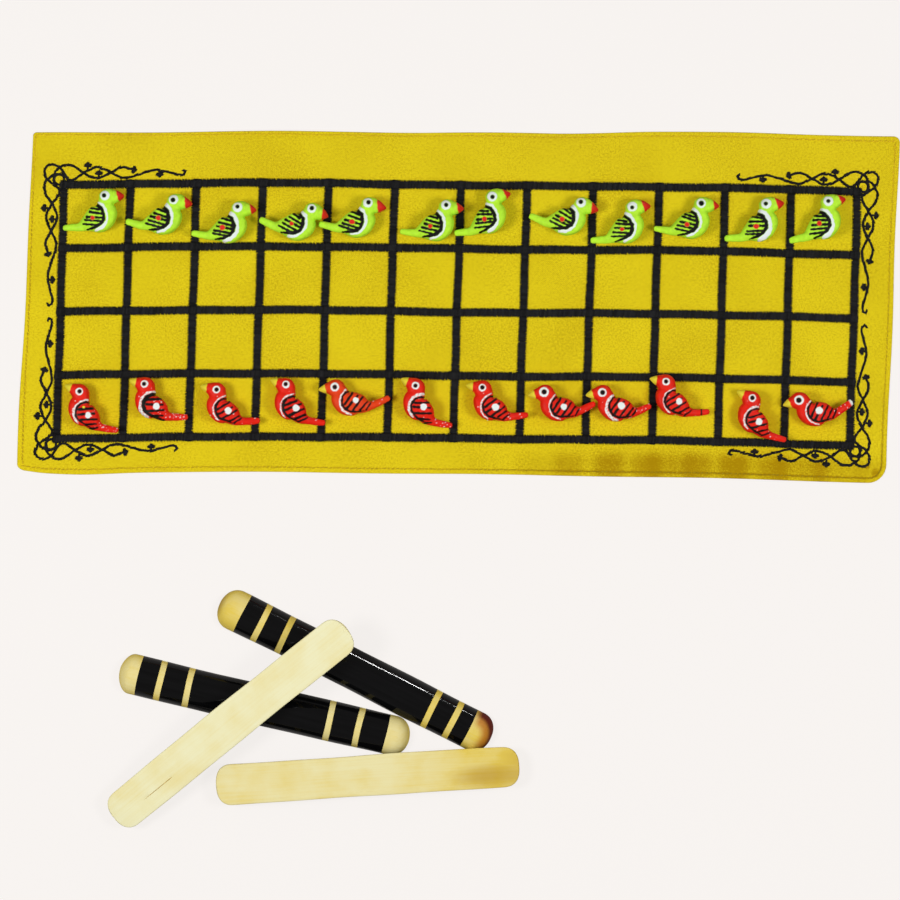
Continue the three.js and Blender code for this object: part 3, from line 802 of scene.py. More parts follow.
class GAMESET_OT_lay_cloth(bpy.types.Operator):
    """Cut the face and the lining, round their corners and let them lie in soft folds"""

    bl_idname = "gameset.lay_cloth"
    bl_label = "Lay the cloth"

    def execute(self, context):
        cotton = dyed_cotton(context.scene.gameset_mat)
        layers = (
            ("face_cloth", FACE_STEP, 0.0, 0.0, FACE_THICKNESS),
            ("lining_cloth", LINING_STEP, LINING_INSET, FACE_THICKNESS + LINING_GAP, LINING_THICKNESS),
        )
        for node, step, inset, below, thickness in layers:
            panel, flat = cut_panel(f"cotton_{node}", step, inset)
            x, y = flat.T
            rise = cloth_rise(x, y) - below
            set_points(panel, np.column_stack([*lay(x, y), rise]))
            # Each point keeps its painted shade, and the two stains, for the cotton to read
            mark(panel, "shade", painted_cloth_shade_and_stains(x, y))
            apply_modifier(panel, "SOLIDIFY", thickness=thickness * MM, offset=-1.0)
            bpy.ops.object.shade_smooth()
            hand_over(panel, "board", "yellow_cotton", node, cotton)
        return {"FINISHED"}


def spare_stitch():
    """One stitch, 1 long, 1 wide and 1 high in millimetres, flat below and pinched at its ends."""
    clear_selection()
    bpy.ops.mesh.primitive_cylinder_add(
        vertices=8, radius=0.5 * MM, depth=MM, rotation=(math.pi / 8, math.pi / 2, 0))
    stitch = named("spare_stitch")
    bpy.ops.object.transform_apply(location=True, rotation=True, scale=True)
    sole = -0.05 * MM
    edit(stitch)
    cut((0, 0, sole), (0, 0, 1), use_fill=True, clear_inner=True)
    for place in (-0.3 * MM, 0.3 * MM):
        cut((place, 0, 0), (1, 0, 0))
    for end in (-0.5 * MM, 0.5 * MM):
        choose(stitch, "verts", lambda points: abs(points[0].x - end) < 0.01 * MM)
        bpy.ops.transform.resize(value=(1, 0.9, 0.5), center_override=(end, 0, sole))
    select_all()
    bpy.ops.transform.translate(value=(0, 0, -sole))
    bpy.ops.transform.resize(value=(1, 1, 2), center_override=(0, 0, 0))
    face_outwards()
    close()
    bpy.ops.object.shade_smooth()
    return stitch


def sew(name, stitch, stitches, lift=None):
    """Copy a stitch along the cloth. Each row of stitches is x, y, heading, long, wide, high and tone."""
    stitches = np.asarray(stitches, float)
    piece = copy_of(stitch, name)
    shape = points_of(piece)
    apply_modifier(piece, "ARRAY", fit_type="FIXED_COUNT", count=len(stitches), use_merge_vertices=False)
    each = np.repeat(stitches, len(shape), axis=0)
    local = np.tile(shape, (len(stitches), 1))
    middle_x, middle_y, heading, long, wide, high, tone = each.T
    along = local[:, 0] * long
    across = local[:, 1] * wide
    x = middle_x + along * np.cos(heading) - across * np.sin(heading)
    y = middle_y + along * np.sin(heading) + across * np.cos(heading)
    z = cloth_rise(x, y) + local[:, 2] * high - STITCH_SINK
    if lift is not None:
        z += lift(x)
    set_points(piece, np.column_stack([*lay(x, y), z]))
    mark(piece, "tone", tone)
    return piece


def hem_path():
    """The hem's way round the mat, a little inside the rounded outline."""
    path = []
    for i, (corner, radius) in enumerate(CORNERS):
        middle = np.array(corner) - np.sign(corner) * radius
        inner = max(radius - HEM_INSET, 0.6)
        for step in range(9):
            angle = math.pi / 2 * (i + step / 8) + math.pi
            path.append(middle + inner * pointing(angle))
    return np.array([*path, path[0]])


class GAMESET_OT_sew_hem(bpy.types.Operator):
    """Run the topstitch all round, just inside the turned edge"""

    bl_idname = "gameset.sew_hem"
    bl_label = "Sew the hem"

    def execute(self, context):
        settings = context.scene.gameset_mat
        draw = np.random.default_rng(HEM_SEED)
        places, headings = walk(hem_path(), settings.hem_pitch / MM)
        long, wide, high = HEM_STITCH
        stitches = []
        for (x, y), heading in zip(places, headings):
            jitter = draw.normal(0, 1, 5)
            # The hem thread is darker along the lower part of the mat, and most towards the lower right
            darker_below = 0.45 * smooth(90, 40, y) + 0.7 * smooth(-60, -88, y) * smooth(-60, 120, x)
            stitches.append((
                x + 0.08 * jitter[0], y + 0.08 * jitter[1], heading + 0.25 + 0.06 * jitter[2],
                long + 0.12 * jitter[3], wide, high, 0.95 - darker_below + 0.1 * jitter[4]))
        stitch = spare_stitch()
        thread = sewing_thread("yellow_sewing_thread", settings.hem_thread, 1.5)
        hem = sew("topstitch_hem", stitch, stitches)
        hand_over(hem, "board", "yellow_thread", "edge_stitching", thread)
        bpy.data.objects.remove(stitch)
        return {"FINISHED"}


def satin_line(settings, draw, start, end):
    """Satin stitches side by side along a grid line, with slightly uneven edges."""
    run = math.dist(start, end)
    ahead = np.subtract(end, start) / run
    aside = np.array([-ahead[1], ahead[0]])
    across = math.atan2(aside[1], aside[0])
    count = round(run / (settings.satin_pitch / MM))
    phases = draw.uniform(0, math.tau, 3)
    stitches = []
    for i in range(count):
        along = (i + 0.5) / count * run
        jitter = draw.normal(0, 1, 4)
        wander = 0.14 * math.sin(along / 9.0 + phases[0]) + 0.12 * math.sin(along / 23.0 + phases[1])
        uneven = 0.02 * math.sin(along / 6.5 + phases[2]) + 0.018 * jitter[0]
        place = start + ahead * (along + 0.05 * jitter[1]) + aside * (wander + 0.05 * jitter[2])
        stitches.append((
            *place, across + 0.035 * jitter[3], settings.line_width / MM * (1 + uneven), SATIN_WIDTH,
            settings.satin_height / MM, draw.random()))
    return stitches


def over_columns(x):
    """How far a row line is lifted where it is sewn over the column lines."""
    return 0.4 * (1 - smooth(1.9, 3.6, off_line(x, SQUARE[0])))


class GAMESET_OT_stitch_grid(bpy.types.Operator):
    """Fill the grid lines with satin stitch: the columns first, and the rows over them"""

    bl_idname = "gameset.stitch_grid"
    bl_label = "Stitch the grid"

    def execute(self, context):
        settings = context.scene.gameset_mat
        draw = np.random.default_rng(GRID_SEED)
        stitch = spare_stitch()
        thread = black_cotton(settings)
        half = settings.line_width / MM / 2
        for column in range(COLUMNS + 1):
            x = column * SQUARE[0] - GRID_HALF[0]
            stitches = satin_line(settings, draw, (x, GRID_HALF[1] + half), (x, -GRID_HALF[1] - half))
            line = sew(f"satin_column_{column + 1}", stitch, stitches)
            hand_over(line, "board", "black_thread", f"column_line_{column + 1}", thread)
        for row in range(ROWS + 1):
            y = GRID_HALF[1] - row * SQUARE[1]
            stitches = satin_line(settings, draw, (-GRID_HALF[0] - half, y), (GRID_HALF[0] + half, y))
            line = sew(f"satin_row_{row + 1}", stitch, stitches, over_columns)
            hand_over(line, "board", "black_thread", f"row_line_{row + 1}", thread)
        bpy.data.objects.remove(stitch)
        return {"FINISHED"}


def on_path(path, reach, stops):
    """The places on a path at stops along it, where reach is how far along each of its points is."""
    return np.column_stack([np.interp(stops, reach, path[:, axis]) for axis in (0, 1)])


def walk(path, pitch):
    """Even steps along a path of points: places and headings."""
    runs = np.linalg.norm(np.diff(path, axis=0), axis=1)
    reach = np.concatenate([[0], np.cumsum(runs)])
    count = max(2, round(reach[-1] / pitch))
    stops = (np.arange(count) + 0.5) / count * reach[-1]
    ahead = on_path(path, reach, stops + 0.3) - on_path(path, reach, stops - 0.3)
    return on_path(path, reach, stops), np.arctan2(ahead[:, 1], ahead[:, 0])


def between(t, start, end, a, b):
    """The point at t on the way from a at start to b at end."""
    return ((end - t) * a + (t - start) * b) / (end - start)


def flowing(points, closed=False):
    """A smooth centripetal curve through points, finely stepped."""
    points = [np.array(point, float) for point in points]
    if closed:
        guides = [points[-1], *points, points[0], points[1]]
    else:
        guides = [2 * points[0] - points[1], *points, 2 * points[-1] - points[-2]]
    path = []
    for four in zip(guides, guides[1:], guides[2:], guides[3:]):
        knots = [0.0]
        for a, b in zip(four, four[1:]):
            knots.append(knots[-1] + max(1e-6, np.linalg.norm(b - a)) ** 0.5)
        for t in np.linspace(knots[1], knots[2], 13)[:-1]:
            near = [between(t, knots[i], knots[i + 1], four[i], four[i + 1]) for i in (0, 1, 2)]
            mid = [between(t, knots[i], knots[i + 2], near[i], near[i + 1]) for i in (0, 1)]
            path.append(between(t, knots[1], knots[2], *mid))
    path.append(points[0] if closed else points[-1])
    return np.array(path)


def arm_point(waves, swings):
    """A point of a vine's arm: distance along the grid line from its corner, distance out from the line."""
    return waves * VINE_WAVE, VINE_MIDDLE + swings * VINE_SWING


def outward(flip, points):
    """Where points lie that are given as distances out from the corner of the grid that flip stands for."""
    return np.array(flip) * (np.array(GRID_HALF) + points)


def on_arm(flip, order, points):
    """Where points along and out from a grid line lie: order is 1 for a row's arm, -1 for a column's."""
    return outward(flip, (np.array(points) * (-1, 1))[:, ::order])


def stem_stitches(settings, draw, path):
    """Overlapping stitches along a strand, each a little slanted, as in stem stitch."""
    places, headings = walk(path, settings.stem_pitch / MM)
    stitches = []
    for place, heading in zip(places, headings):
        jitter = draw.normal(0, 1, 4)
        aside = np.array([-math.sin(heading), math.cos(heading)])
        stitches.append((
            *(place + aside * 0.14 * jitter[0]), heading + 0.3 + 0.1 * jitter[1],
            settings.stem_length / MM * (1 + 0.07 * jitter[2]),
            settings.stem_width / MM * (1 + 0.08 * jitter[3]), STEM_HEIGHT, draw.random()))
    return stitches


def leaf_stitches(draw, middle, stem):
    """A small three-lobed leaf: full lobes away from the strand and one stitch along the stem."""
    stitches = []
    for lobe in (-1.25, 0.0, 1.25):
        facing = stem + math.pi + lobe
        for fan in (-0.34, 0.0, 0.34):
            heading = facing + fan + 0.05 * draw.normal()
            reach = LEAF_RADIUS * (0.95 if fan == 0.0 else 0.85)
            place = middle + 0.42 * reach * pointing(heading)
            stitches.append((*place, heading, reach, LEAF_WIDTH, LEAF_HEIGHT, draw.random()))
    place = middle + 0.9 * pointing(stem)
    stitches.append((*place, stem, *LEAF_STEM, draw.random()))
    return stitches


def vine_stitches(settings, draw, flip):
    """All stitches of one corner's vine: each arm's strands and leaves, then the looped knot."""
    stitches = []
    for order in (1, -1):
        for start, waves in ((SHORT_START, SHORT_WAVES), (LONG_START, LONG_WAVES)):
            strand = [*start, *(arm_point(*place) for place in waves)]
            stitches += stem_stitches(settings, draw, flowing(on_arm(flip, order, strand)))
        for waves, swings, degrees in LEAVES:
            leaf = np.array(arm_point(waves, swings))
            middle, tip = on_arm(flip, order, [leaf, leaf + pointing(math.radians(degrees))])
            stitches += leaf_stitches(draw, middle, math.atan2(*(tip - middle)[::-1]))
    middle, radius = KNOT_RING
    ring = [middle + radius * pointing(eighth * math.pi / 4) for eighth in range(8)]
    stitches += stem_stitches(settings, draw, flowing(outward(flip, ring), closed=True))
    for strand in (KNOT_PETAL, KNOT_CROSS, [point[::-1] for point in KNOT_CROSS]):
        stitches += stem_stitches(settings, draw, flowing(outward(flip, strand)))
    return stitches


class GAMESET_OT_stitch_vines(bpy.types.Operator):
    """Sew a vine of two crossing strands, leaves and a looped knot into each corner"""

    bl_idname = "gameset.stitch_vines"
    bl_label = "Stitch the vines"

    def execute(self, context):
        settings = context.scene.gameset_mat
        draw = np.random.default_rng(VINE_SEED)
        stitch = spare_stitch()
        thread = black_cotton(settings)
        corners = {
            "top_left": (-1, 1), "top_right": (1, 1), "bottom_left": (-1, -1), "bottom_right": (1, -1)}
        for corner, flip in corners.items():
            vine = sew(f"stem_stitch_vine_{corner}", stitch, vine_stitches(settings, draw, flip))
            hand_over(vine, "board", "black_thread", f"vine_{corner}", thread)
        bpy.data.objects.remove(stitch)
        return {"FINISHED"}


def loft(name, rings, sides):
    """A closed skin over rings along a flat spine, each given as x, y, half width and half thickness."""
    clear_selection()
    for i, (x, y, half, deep) in enumerate(rings):
        ahead = rings[min(i + 1, len(rings) - 1)]
        behind = rings[max(i - 1, 0)]
        heading = math.atan2(ahead[1] - behind[1], ahead[0] - behind[0])
        place = (x * MM, y * MM, 0)
        turned = (math.pi / 2, 0, heading + math.pi / 2)
        bpy.ops.mesh.primitive_circle_add(vertices=sides, radius=half * MM, location=place, rotation=turned)
        if i == 0:
            bpy.ops.object.transform_apply(location=True, rotation=True, scale=True)
            bpy.ops.object.mode_set(mode="EDIT")
        bpy.ops.mesh.select_mode(type="VERT")
        bpy.ops.transform.resize(value=(1, 1, deep / half), center_override=place)
    select_all()
    bpy.ops.mesh.bridge_edge_loops()
    select_all()
    bpy.ops.mesh.fill_holes(sides=0)
    face_outwards()
    close()
    return named(name)


def carved_bird(name, stations, beak, settings):
    """Loft the body and the beak, round them off, join them and carve them into one surface."""
    half = settings.thickness / MM / 2
    rings = []
    for x, y, wide, share in flowing(stations)[::4]:
        deep = half / FLATTENING * math.atanh(min(share, 1.0) * math.tanh(FLATTENING))
        rings.append((x, y, FULLNESS * wide, FULLNESS * deep))
    body = loft(name, rings, sides=20)
    apply_modifier(body, "SUBSURF", levels=1, render_levels=1)
    rings = [(x, y, radius, 0.92 * radius) for x, y, radius in flowing(beak)[::4]]
    bill = loft(f"{name}_beak", rings, sides=12)
    apply_modifier(bill, "SUBSURF", levels=1, render_levels=1)
    activate(body)
    bill.select_set(True)
    bpy.ops.object.join()
    apply_modifier(body, "REMESH", mode="VOXEL", voxel_size=settings.grain)
    apply_modifier(body, "SMOOTH", factor=0.5, iterations=4)
    points = points_of(body)
    points[:, 2] = half * np.tanh(FLATTENING * points[:, 2] / half) / math.tanh(FLATTENING)
    set_points(body, points)
    bpy.ops.object.shade_smooth()
    return body


def painted(inside):
    """How much paint covers a point that lies a distance inside a painted edge."""
    return smooth(-PAINT_EDGE, PAINT_EDGE, inside)


def stroke(at, points, wobble):
    """How much paint of a stroke covers each point: its points are x, y and width."""
    cover = np.zeros(len(at))
    for (x0, y0, w0), (x1, y1, w1) in zip(points, points[1:]):
        run = np.array([x1 - x0, y1 - y0])
        share = np.clip(((at - (x0, y0)) @ run) / (run @ run), 0, 1)
        apart = np.hypot(*(at - (x0, y0) - share[:, None] * run).T)
        half = (w0 + (w1 - w0) * share) / 2 + wobble
        cover = np.maximum(cover, painted(half - apart))
    return cover


def dot(at, middle, radius, wobble=0.0):
    """How much paint of a round dot covers each point."""
    return painted(radius + wobble - np.hypot(*(at - middle).T))


def shaky(points, draw, amount, width):
    """A stroke as another bird has it: its points moved a little, and its widths times a width."""
    shift = draw.normal(0, 0.5 * amount, 2)
    return [(x + shift[0] + draw.normal(0, 0.4 * amount), y + shift[1] + draw.normal(0, 0.4 * amount),
             w * width * draw.uniform(0.85, 1.15)) for x, y, w in points]


def brushed(at, draw):
    """Uneven edge of a hand-painted stroke."""
    phases = draw.uniform(0, math.tau, 4)
    return 0.07 * (np.sin(at[:, 0] * 1.9 + phases[0]) + np.sin(at[:, 1] * 2.3 + phases[1])
                   + 0.8 * np.sin((at[:, 0] + at[:, 1]) * 3.1 + phases[2]))


def bent(points, normals, draw, trim):
    """One bird's own carving: its tail, head and thickness a little different from the next one's."""
    points = points.copy()
    tail = np.clip((13 - points[:, 0]) / 13, 0, 1)
    points[:, 0] += trim * tail
    points[:, 1] += draw.normal(0, 0.25) * tail ** 2
    points[:, 1] *= 1 + draw.normal(0, 0.05) * tail
    head = smooth(11.5, 16.0, points[:, 1])
    points[:, 0] += draw.normal(0, 0.2) * head
    points[:, 2] *= 1 + draw.normal(0, 0.03)
    phases = draw.uniform(0, math.tau, 3)
    lumps = np.sin(points[:, 0] / 1.7 + phases[0]) * np.sin(points[:, 1] / 1.9 + phases[1])
    lumps += 0.6 * np.sin(points[:, 0] / 0.9 + phases[2]) * np.sin(points[:, 2] / 1.3)
    return points + 0.09 * lumps[:, None] * normals


def turn(x, y, degrees):
    """Places turned about the origin."""
    across, up = math.cos(math.radians(degrees)), math.sin(math.radians(degrees))
    return x * across - y * up, x * up + y * across


def turned_stroke(points, middle, degrees):
    """A stroke turned about a point."""
    turned = []
    for x, y, width in points:
        across, up = turn(x - middle[0], y - middle[1], degrees)
        turned.append((middle[0] + across, middle[1] + up, width))
    return turned


def green_marks(at, draw, number):
    """Paint of a green bird: collar, striped wing with a red dot, eye and red beak."""
    edge = brushed(at, draw)
    collar = 1.2 * GREEN_COLLARS.get(number, 1.0)
    white = stroke(at, shaky(GREEN_COLLAR, draw, 0.35, collar), edge)
    black = stroke(at, shaky(GREEN_CRESCENT, draw, 0.25, 1.15), edge)
    for line in GREEN_STRIPES:
        black = np.maximum(black, stroke(at, shaky(line, draw, 0.3, 1.25), edge))
    accent = dot(at, GREEN_DOT + draw.normal(0, 0.4, 2), draw.uniform(1.2, 1.6), edge)
    white = white * (1 - black)
    black = black * (1 - accent)
    eye = GREEN_EYE + draw.normal(0, 0.2, 2)
    ball = dot(at, eye, draw.uniform(2.5, 2.9), 0.5 * edge)
    white = np.maximum(white, ball)
    pupil = dot(at, eye + draw.normal(0, 0.2, 2), draw.uniform(1.05, 1.5))
    white, black = white * (1 - pupil), np.maximum(black, pupil)
    root = draw.normal(31.5, 0.4)
    beak = painted(at[:, 0] - root + 0.25 * (at[:, 1] - 16.7) + edge)
    return white, black, np.maximum(accent, beak)


def red_marks(at, draw, number):
    """Paint of a red bird: pale worn collar, striped wing with a raised white dot, eye and yellow beak."""
    edge = brushed(at, draw)
    worn = np.clip(0.85 + 3 * brushed(1.7 * at, draw), 0.25, 1)
    white = worn * stroke(at, shaky(RED_COLLAR, draw, 0.3, RED_COLLARS.get(number, 0.9)), edge)
    black = stroke(at, shaky(RED_CRESCENT, draw, 0.25, RED_OUTLINES.get(number, 1.0)), edge)
    for line in RED_STRIPES:
        line = turned_stroke(line, RED_PIVOT, RED_TWISTS.get(number, 0))
        black = np.maximum(black, stroke(at, shaky(line, draw, 0.3, RED_LINES.get(number, 1.5)), edge))
    white = white * (1 - black)
    for _ in range(RED_FLECKS.get(number, 7)):
        if draw.random() < 0.4:
            place = (draw.uniform(0, 11), draw.uniform(-1.5, 3.0))
        else:
            place = (draw.uniform(11, 28), draw.uniform(-3, 16))
        white = np.maximum(white, dot(at, place, draw.uniform(0.05, 0.32)))
    spot = dot(at, RED_DOT + draw.normal(0, 0.4, 2), draw.uniform(1.7, 2.1), edge)
    eye = RED_EYE + draw.normal(0, 0.25, 2)
    radius = RED_EYES.get(number, 2.15)
    ball = dot(at, eye, radius, 0.5 * edge)
    white = np.maximum(white, np.maximum(spot, ball))
    black = black * (1 - spot)
    if number == RINGED:
        black = np.maximum(black, stroke(at, ((3.8, -3, 0.7), (4.0, 3, 0.7)), edge))
    if number == TIPPED:
        white = np.maximum(white, 1 - smooth(0.0, 1.2, at[:, 0]))
    pupil = dot(at, eye + draw.normal(0, 0.12, 2), draw.uniform(0.52, 0.6) * radius)
    white, black = white * (1 - pupil), np.maximum(black, pupil)
    accent = painted(at[:, 0] - 30.6 + 0.1 * (at[:, 1] - 18.5) + edge)
    if number == DRIPPED:
        accent = np.maximum(accent, dot(at, (21.2, 9.4), 0.7))
    if number == TINGED:
        accent = np.maximum(accent, 0.05 * (1 - white) * (1 - black))
    return white, black, accent


def make_birds(settings, kind, stations, beak, turns, shift, marks, material):
    """Carve one bird, then shape, paint and place each copy."""
    master = carved_bird(f"spare_{kind}_bird", stations, beak, settings)
    relief = settings.relief / MM
    for number, degrees in enumerate(turns, start=1):
        draw = np.random.default_rng(BIRD_SEED * len(kind) + number)
        bird = copy_of(master, f"painted_{kind}_bird_{number}")
        points = points_of(bird)
        normals = normals_of(bird)
        white, black, accent = marks(points[:, :2], draw, number)
        node = f"{kind}_bird_{number}"
        points = bent(points, normals, draw, TAIL_TRIMS.get(node, 0.0))
        # White paint is the thickest
        points = points + relief * (white + 0.8 * black + 0.7 * accent)[:, None] * normals
        for name, values in (("white", white), ("black", black), ("accent", accent)):
            mark(bird, name, values)
        points = np.column_stack([*turn(points[:, 0], points[:, 1], degrees), points[:, 2]])
        # The red birds face left and lie on their other side
        if kind == "red":
            points = points * (-1, 1, -1)
        set_points(bird, seat(points, node) + shift + NUDGES.get(node, (0.0, 0.0, 0.0)))
        hand_over(bird, f"{kind}_piece_{number}", f"{kind}_paint", node, material)
    bpy.data.objects.remove(master)


class GAMESET_OT_carve_green_birds(bpy.types.Operator):
    """Carve, paint and set down the twelve green birds"""

    bl_idname = "gameset.carve_green_birds"
    bl_label = "Carve the green birds"

    def execute(self, context):
        settings = context.scene.gameset_birds
        paint = painted_wood("green_gloss_paint_on_wood", settings.green, settings.green_beak, settings)
        make_birds(
            settings, "green", GREEN_STATIONS, GREEN_BEAK, GREEN_TURNS, GREEN_SHIFT, green_marks, paint)
        return {"FINISHED"}


class GAMESET_OT_carve_red_birds(bpy.types.Operator):
    """Carve, paint and set down the twelve red birds"""

    bl_idname = "gameset.carve_red_birds"
    bl_label = "Carve the red birds"

    def execute(self, context):
        settings = context.scene.gameset_birds
        paint = painted_wood("red_gloss_paint_on_wood", settings.red, settings.red_beak, settings)
        make_birds(settings, "red", RED_STATIONS, RED_BEAK, RED_TURNS, RED_SHIFT, red_marks, paint)
        return {"FINISHED"}


def turned_stick(settings, name):
    """A half-round stick along X, its flat face on z = 0, with domed ends and a softened rim."""
    shank = settings.size / 2 - settings.end_round
    near = 0.001 * MM
    clear_selection()
    bpy.ops.mesh.primitive_uv_sphere_add(
        segments=56, ring_count=28, radius=1, location=(0, 0, 0), rotation=(0, math.pi / 2, 0))
    stick = named(name)
    bpy.ops.object.transform_apply(location=True, rotation=True, scale=True)
    edit(stick)
    select_all()
    bpy.ops.transform.resize(
        value=(settings.end_round, settings.width / 2, settings.rise), center_override=(0, 0, 0))
    cut((0, 0, 0), (1, 0, 0), clear_inner=True)
    select_all()
    bpy.ops.transform.translate(value=(shank, 0, 0))
    choose(stick, "edges", lambda ends: all(abs(end.x - shank) < near for end in ends))
    bpy.ops.mesh.extrude_edges_move(TRANSFORM_OT_translate={"value": (-shank, 0, 0)})
    close()
    apply_modifier(stick, "MIRROR", merge_threshold=2 * near)
    edit(stick)
    face_outwards()
    cut((0, 0, 0), (0, 0, 1), clear_inner=True, use_fill=True)
    choose(stick, "edges", lambda ends: all(abs(end.z) < near for end in ends))
    bpy.ops.mesh.bevel(offset=settings.edge, segments=3, affect="EDGES")
    close()
    return stick


def fill_ends(points, settings, fullness):
    """Make a stick's round ends fuller."""
    size = np.array([settings.end_round, settings.width / 2, settings.rise]) / MM
    shank = settings.size / MM / 2 - size[0]
    beyond = np.maximum(np.abs(points[:, 0]) - shank, 0)
    along = beyond / size[0]
    around = np.hypot(points[:, 1] / size[1], points[:, 2] / size[2])
    filled = (along ** fullness + around ** fullness) ** (1 / fullness)
    grown = np.where(beyond > 0, np.hypot(along, around) / np.maximum(filled, 1e-6), 1)
    x = np.sign(points[:, 0]) * (np.abs(points[:, 0]) + (grown - 1) * beyond)
    return np.column_stack([x, grown * points[:, 1], grown * points[:, 2]])


def ring_edges(settings, bands):
    """Where a stick's lacquer starts and ends along it, and where each bare ring does."""
    half = settings.size / MM / 2
    wide = settings.ring_width / MM / 2
    left, right = bands
    rings = []
    for side, (cap, *middles) in ((-1, left), (1, right)):
        for middle in middles:
            place = side * (half - cap - middle)
            rings.append((place - wide, place + wide))
    return (-half + left[0], half - right[0]), rings


def cut_rings(stick, settings, bands):
    """Cut the edges of the caps and rings round a stick, sink the rings and say what is lacquered."""
    caps, rings = ring_edges(settings, bands)
    half = settings.size / MM / 2
    edit(stick)
    # Besides the caps and rings, even cuts across and along give the long faces points to bend and colour
    stops = [*caps, *np.arange(-half + 20, half - 19, 9.5)]
    for start, end in rings:
        stops += [start, start + RING_LIP, end - RING_LIP, end]
    for place in stops:
        cut((place * MM, 0, 0), (1, 0, 0))
    for place in np.arange(-9, 10, 3):
        cut((0, place * MM, 0), (0, 1, 0))
    low = 1.2 * settings.edge
    for start, end in rings:
        left, right = (start + RING_LIP / 2) * MM, (end - RING_LIP / 2) * MM
        choose(stick, "verts", lambda points: left < points[0].x < right and points[0].z > low)
        bpy.ops.transform.shrink_fatten(value=-settings.ring_depth)
    close()
    for face in stick.data.polygons:
        place = face.center.x / MM
        bare = place < caps[0] or place > caps[1] or face.center.z < low
        bare = bare or any(start < place < end for start, end in rings)
        face.material_index = 1 if bare else 0


def in_crack(points):
    """Which points of a stick lie at the bottom of the crack in its flat face."""
    x, y, z = points.T
    start, end, side = CRACK
    return (np.abs(y - side) < 0.05) & (x > start + 0.5) & (x < end - 0.5) & (z < 0.5)


def open_crack(stick):
    """Open a thin crack along the grain of a stick's flat face."""
    start, end, side = CRACK
    edit(stick)
    for place in (side - CRACK_HALF, side, side + CRACK_HALF):
        cut((0, place * MM, 0), (0, 1, 0))
    for place in np.linspace(start, end, 6):
        cut((place * MM, 0, 0), (1, 0, 0))
    close()
    points = points_of(stick)
    points[:, 2] += CRACK_DEPTH * in_crack(points)
    set_points(stick, points)


def stick_marks(number, points, half):
    """How golden, stained, singed and scorched each point of a stick is."""
    x, y, z = points.T
    back = smooth(0.6, 2.0, z)
    # About half of a stick's width
    wide = half * 0.135
    # The bare round ends and rings are golden, and more so low on their flanks
    gold = ((0.4 if number == PALER else 0.64) + 0.35 * smooth(8.5, 2.0, z)) * back
    stain, singe, scorch = np.zeros((3, len(x)))
    if number == SCORCHED:
        rim = np.hypot((y + 1.5) / wide, np.maximum(x - half + 11, 0) / 11)
        burnt = smooth(0.1, 0.8, z) * smooth(half - 14.5, half - 12, x)
        singe = 0.85 * burnt * smooth(0.2, 0.7, rim) * smooth(half - 15, half - 7, x + 0.7 * y)
        scorch = burnt * smooth(0.74, 0.97, rim)
        # Stick 1 is also darker towards its left tip, in the scorch's colour
        scorch = np.maximum(scorch, 0.45 * back * smooth(half - 4, half, -x))
    if number == CRACKED:
        stain = 0.9 * in_crack(points)
    if number == STAINED:
        gold = gold + (1 - back) * (0.25 + 0.5 * smooth(10, 70, x))
        patch = np.hypot((x - 72) / 28, (y - 4.5) / (0.7 * wide))
        stain = 0.6 * (1 - smooth(0.25, 1.1, patch)) * (1 - back)
        stain = np.maximum(stain, 0.3 * (1 - back) * smooth(half - 7, half - 1, x))
    return [np.clip(share, 0, 1) for share in (gold, stain, singe, scorch)]


def worn_shape(points, draw):
    """One stick's own shape: it swells, strays from its line and keeps the strokes of the lacquer brush."""
    phases = draw.uniform(0, math.tau, 4)
    x, y, z = points.T
    swell = 1 + 0.012 * np.sin(x / 19 + phases[0]) + 0.008 * np.sin(x / 8.3 + phases[1])
    drift = 0.25 * np.sin(x / 33 + phases[2])
    around = np.arctan2(y, z + 0.5)
    brush = 0.16 * np.sin(2 * around + x / 7 + phases[3]) * smooth(0.5, 2.0, z)
    return np.column_stack([x + brush, y * swell + drift, z * swell])


def fallen(settings, number, heading):
    """How a stick lies, as a matrix for rows of points: flat side up, it leans as far as its node does."""
    place = Matrix.Rotation(math.radians(heading), 3, "Z")
    if number not in ROUND_UP:
        low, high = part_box(f"throwing_stick_{number}")
        lift = (high.z - low.z - settings.rise) / (settings.size - settings.end_round)
        lean = math.asin(max(0.0, lift))
        place = place @ Matrix.Rotation(-lean, 3, "Y") @ Matrix.Rotation(math.pi, 3, "X")
    return np.array(place).T


class GAMESET_OT_turn_sticks(bpy.types.Operator):
    """Shape the half-round sticks, cut their rings, lacquer their backs and lay them as they fell"""

    bl_idname = "gameset.turn_sticks"
    bl_label = "Turn the sticks"

    def execute(self, context):
        settings = context.scene.gameset_sticks
        half = settings.size / MM / 2
        wood = bare_wood(settings)
        lacquer = black_lacquer(settings)
        master = turned_stick(settings, "spare_stick")
        for number, heading in enumerate(STICK_HEADINGS, start=1):
            draw = np.random.default_rng(STICK_SEED + number)
            stick = copy_of(master, f"throwing_stick_{number}_turned")
            cut_rings(stick, settings, STICK_BANDS[number - 1])
            if number == CRACKED:
                open_crack(stick)
            points = fill_ends(points_of(stick), settings, STICK_FULLNESS[number - 1])
            shares = stick_marks(number, points, half)
            for name, values in zip(("gold", "stain", "singe", "scorch"), shares):
                mark(stick, name, values)
            along = stick.data.attributes.new("along", "FLOAT_VECTOR", "POINT")
            shifted = (points + (0, 0, GRAIN_STEP * number)) * MM
            along.data.foreach_set("vector", shifted.astype(np.float32).ravel())
            trimmed = STICK_TRIMS[number - 1] * smooth(TRIM_REACH - half, -half, points[:, 0])
            node = f"throwing_stick_{number}"
            turned = fallen(settings, number, heading)
            seated = seat(worn_shape(points, draw) @ turned, node)
            set_points(stick, seated + np.outer(trimmed, turned[0]))
            activate(stick)
            bpy.ops.object.shade_smooth_by_angle(angle=math.radians(40))
            slot = "black_lacquer" if number in ROUND_UP else "bare_wood"
            hand_over(stick, f"stick_{number}", slot, node, lacquer, wood)
        bpy.data.objects.remove(master)
        return {"FINISHED"}


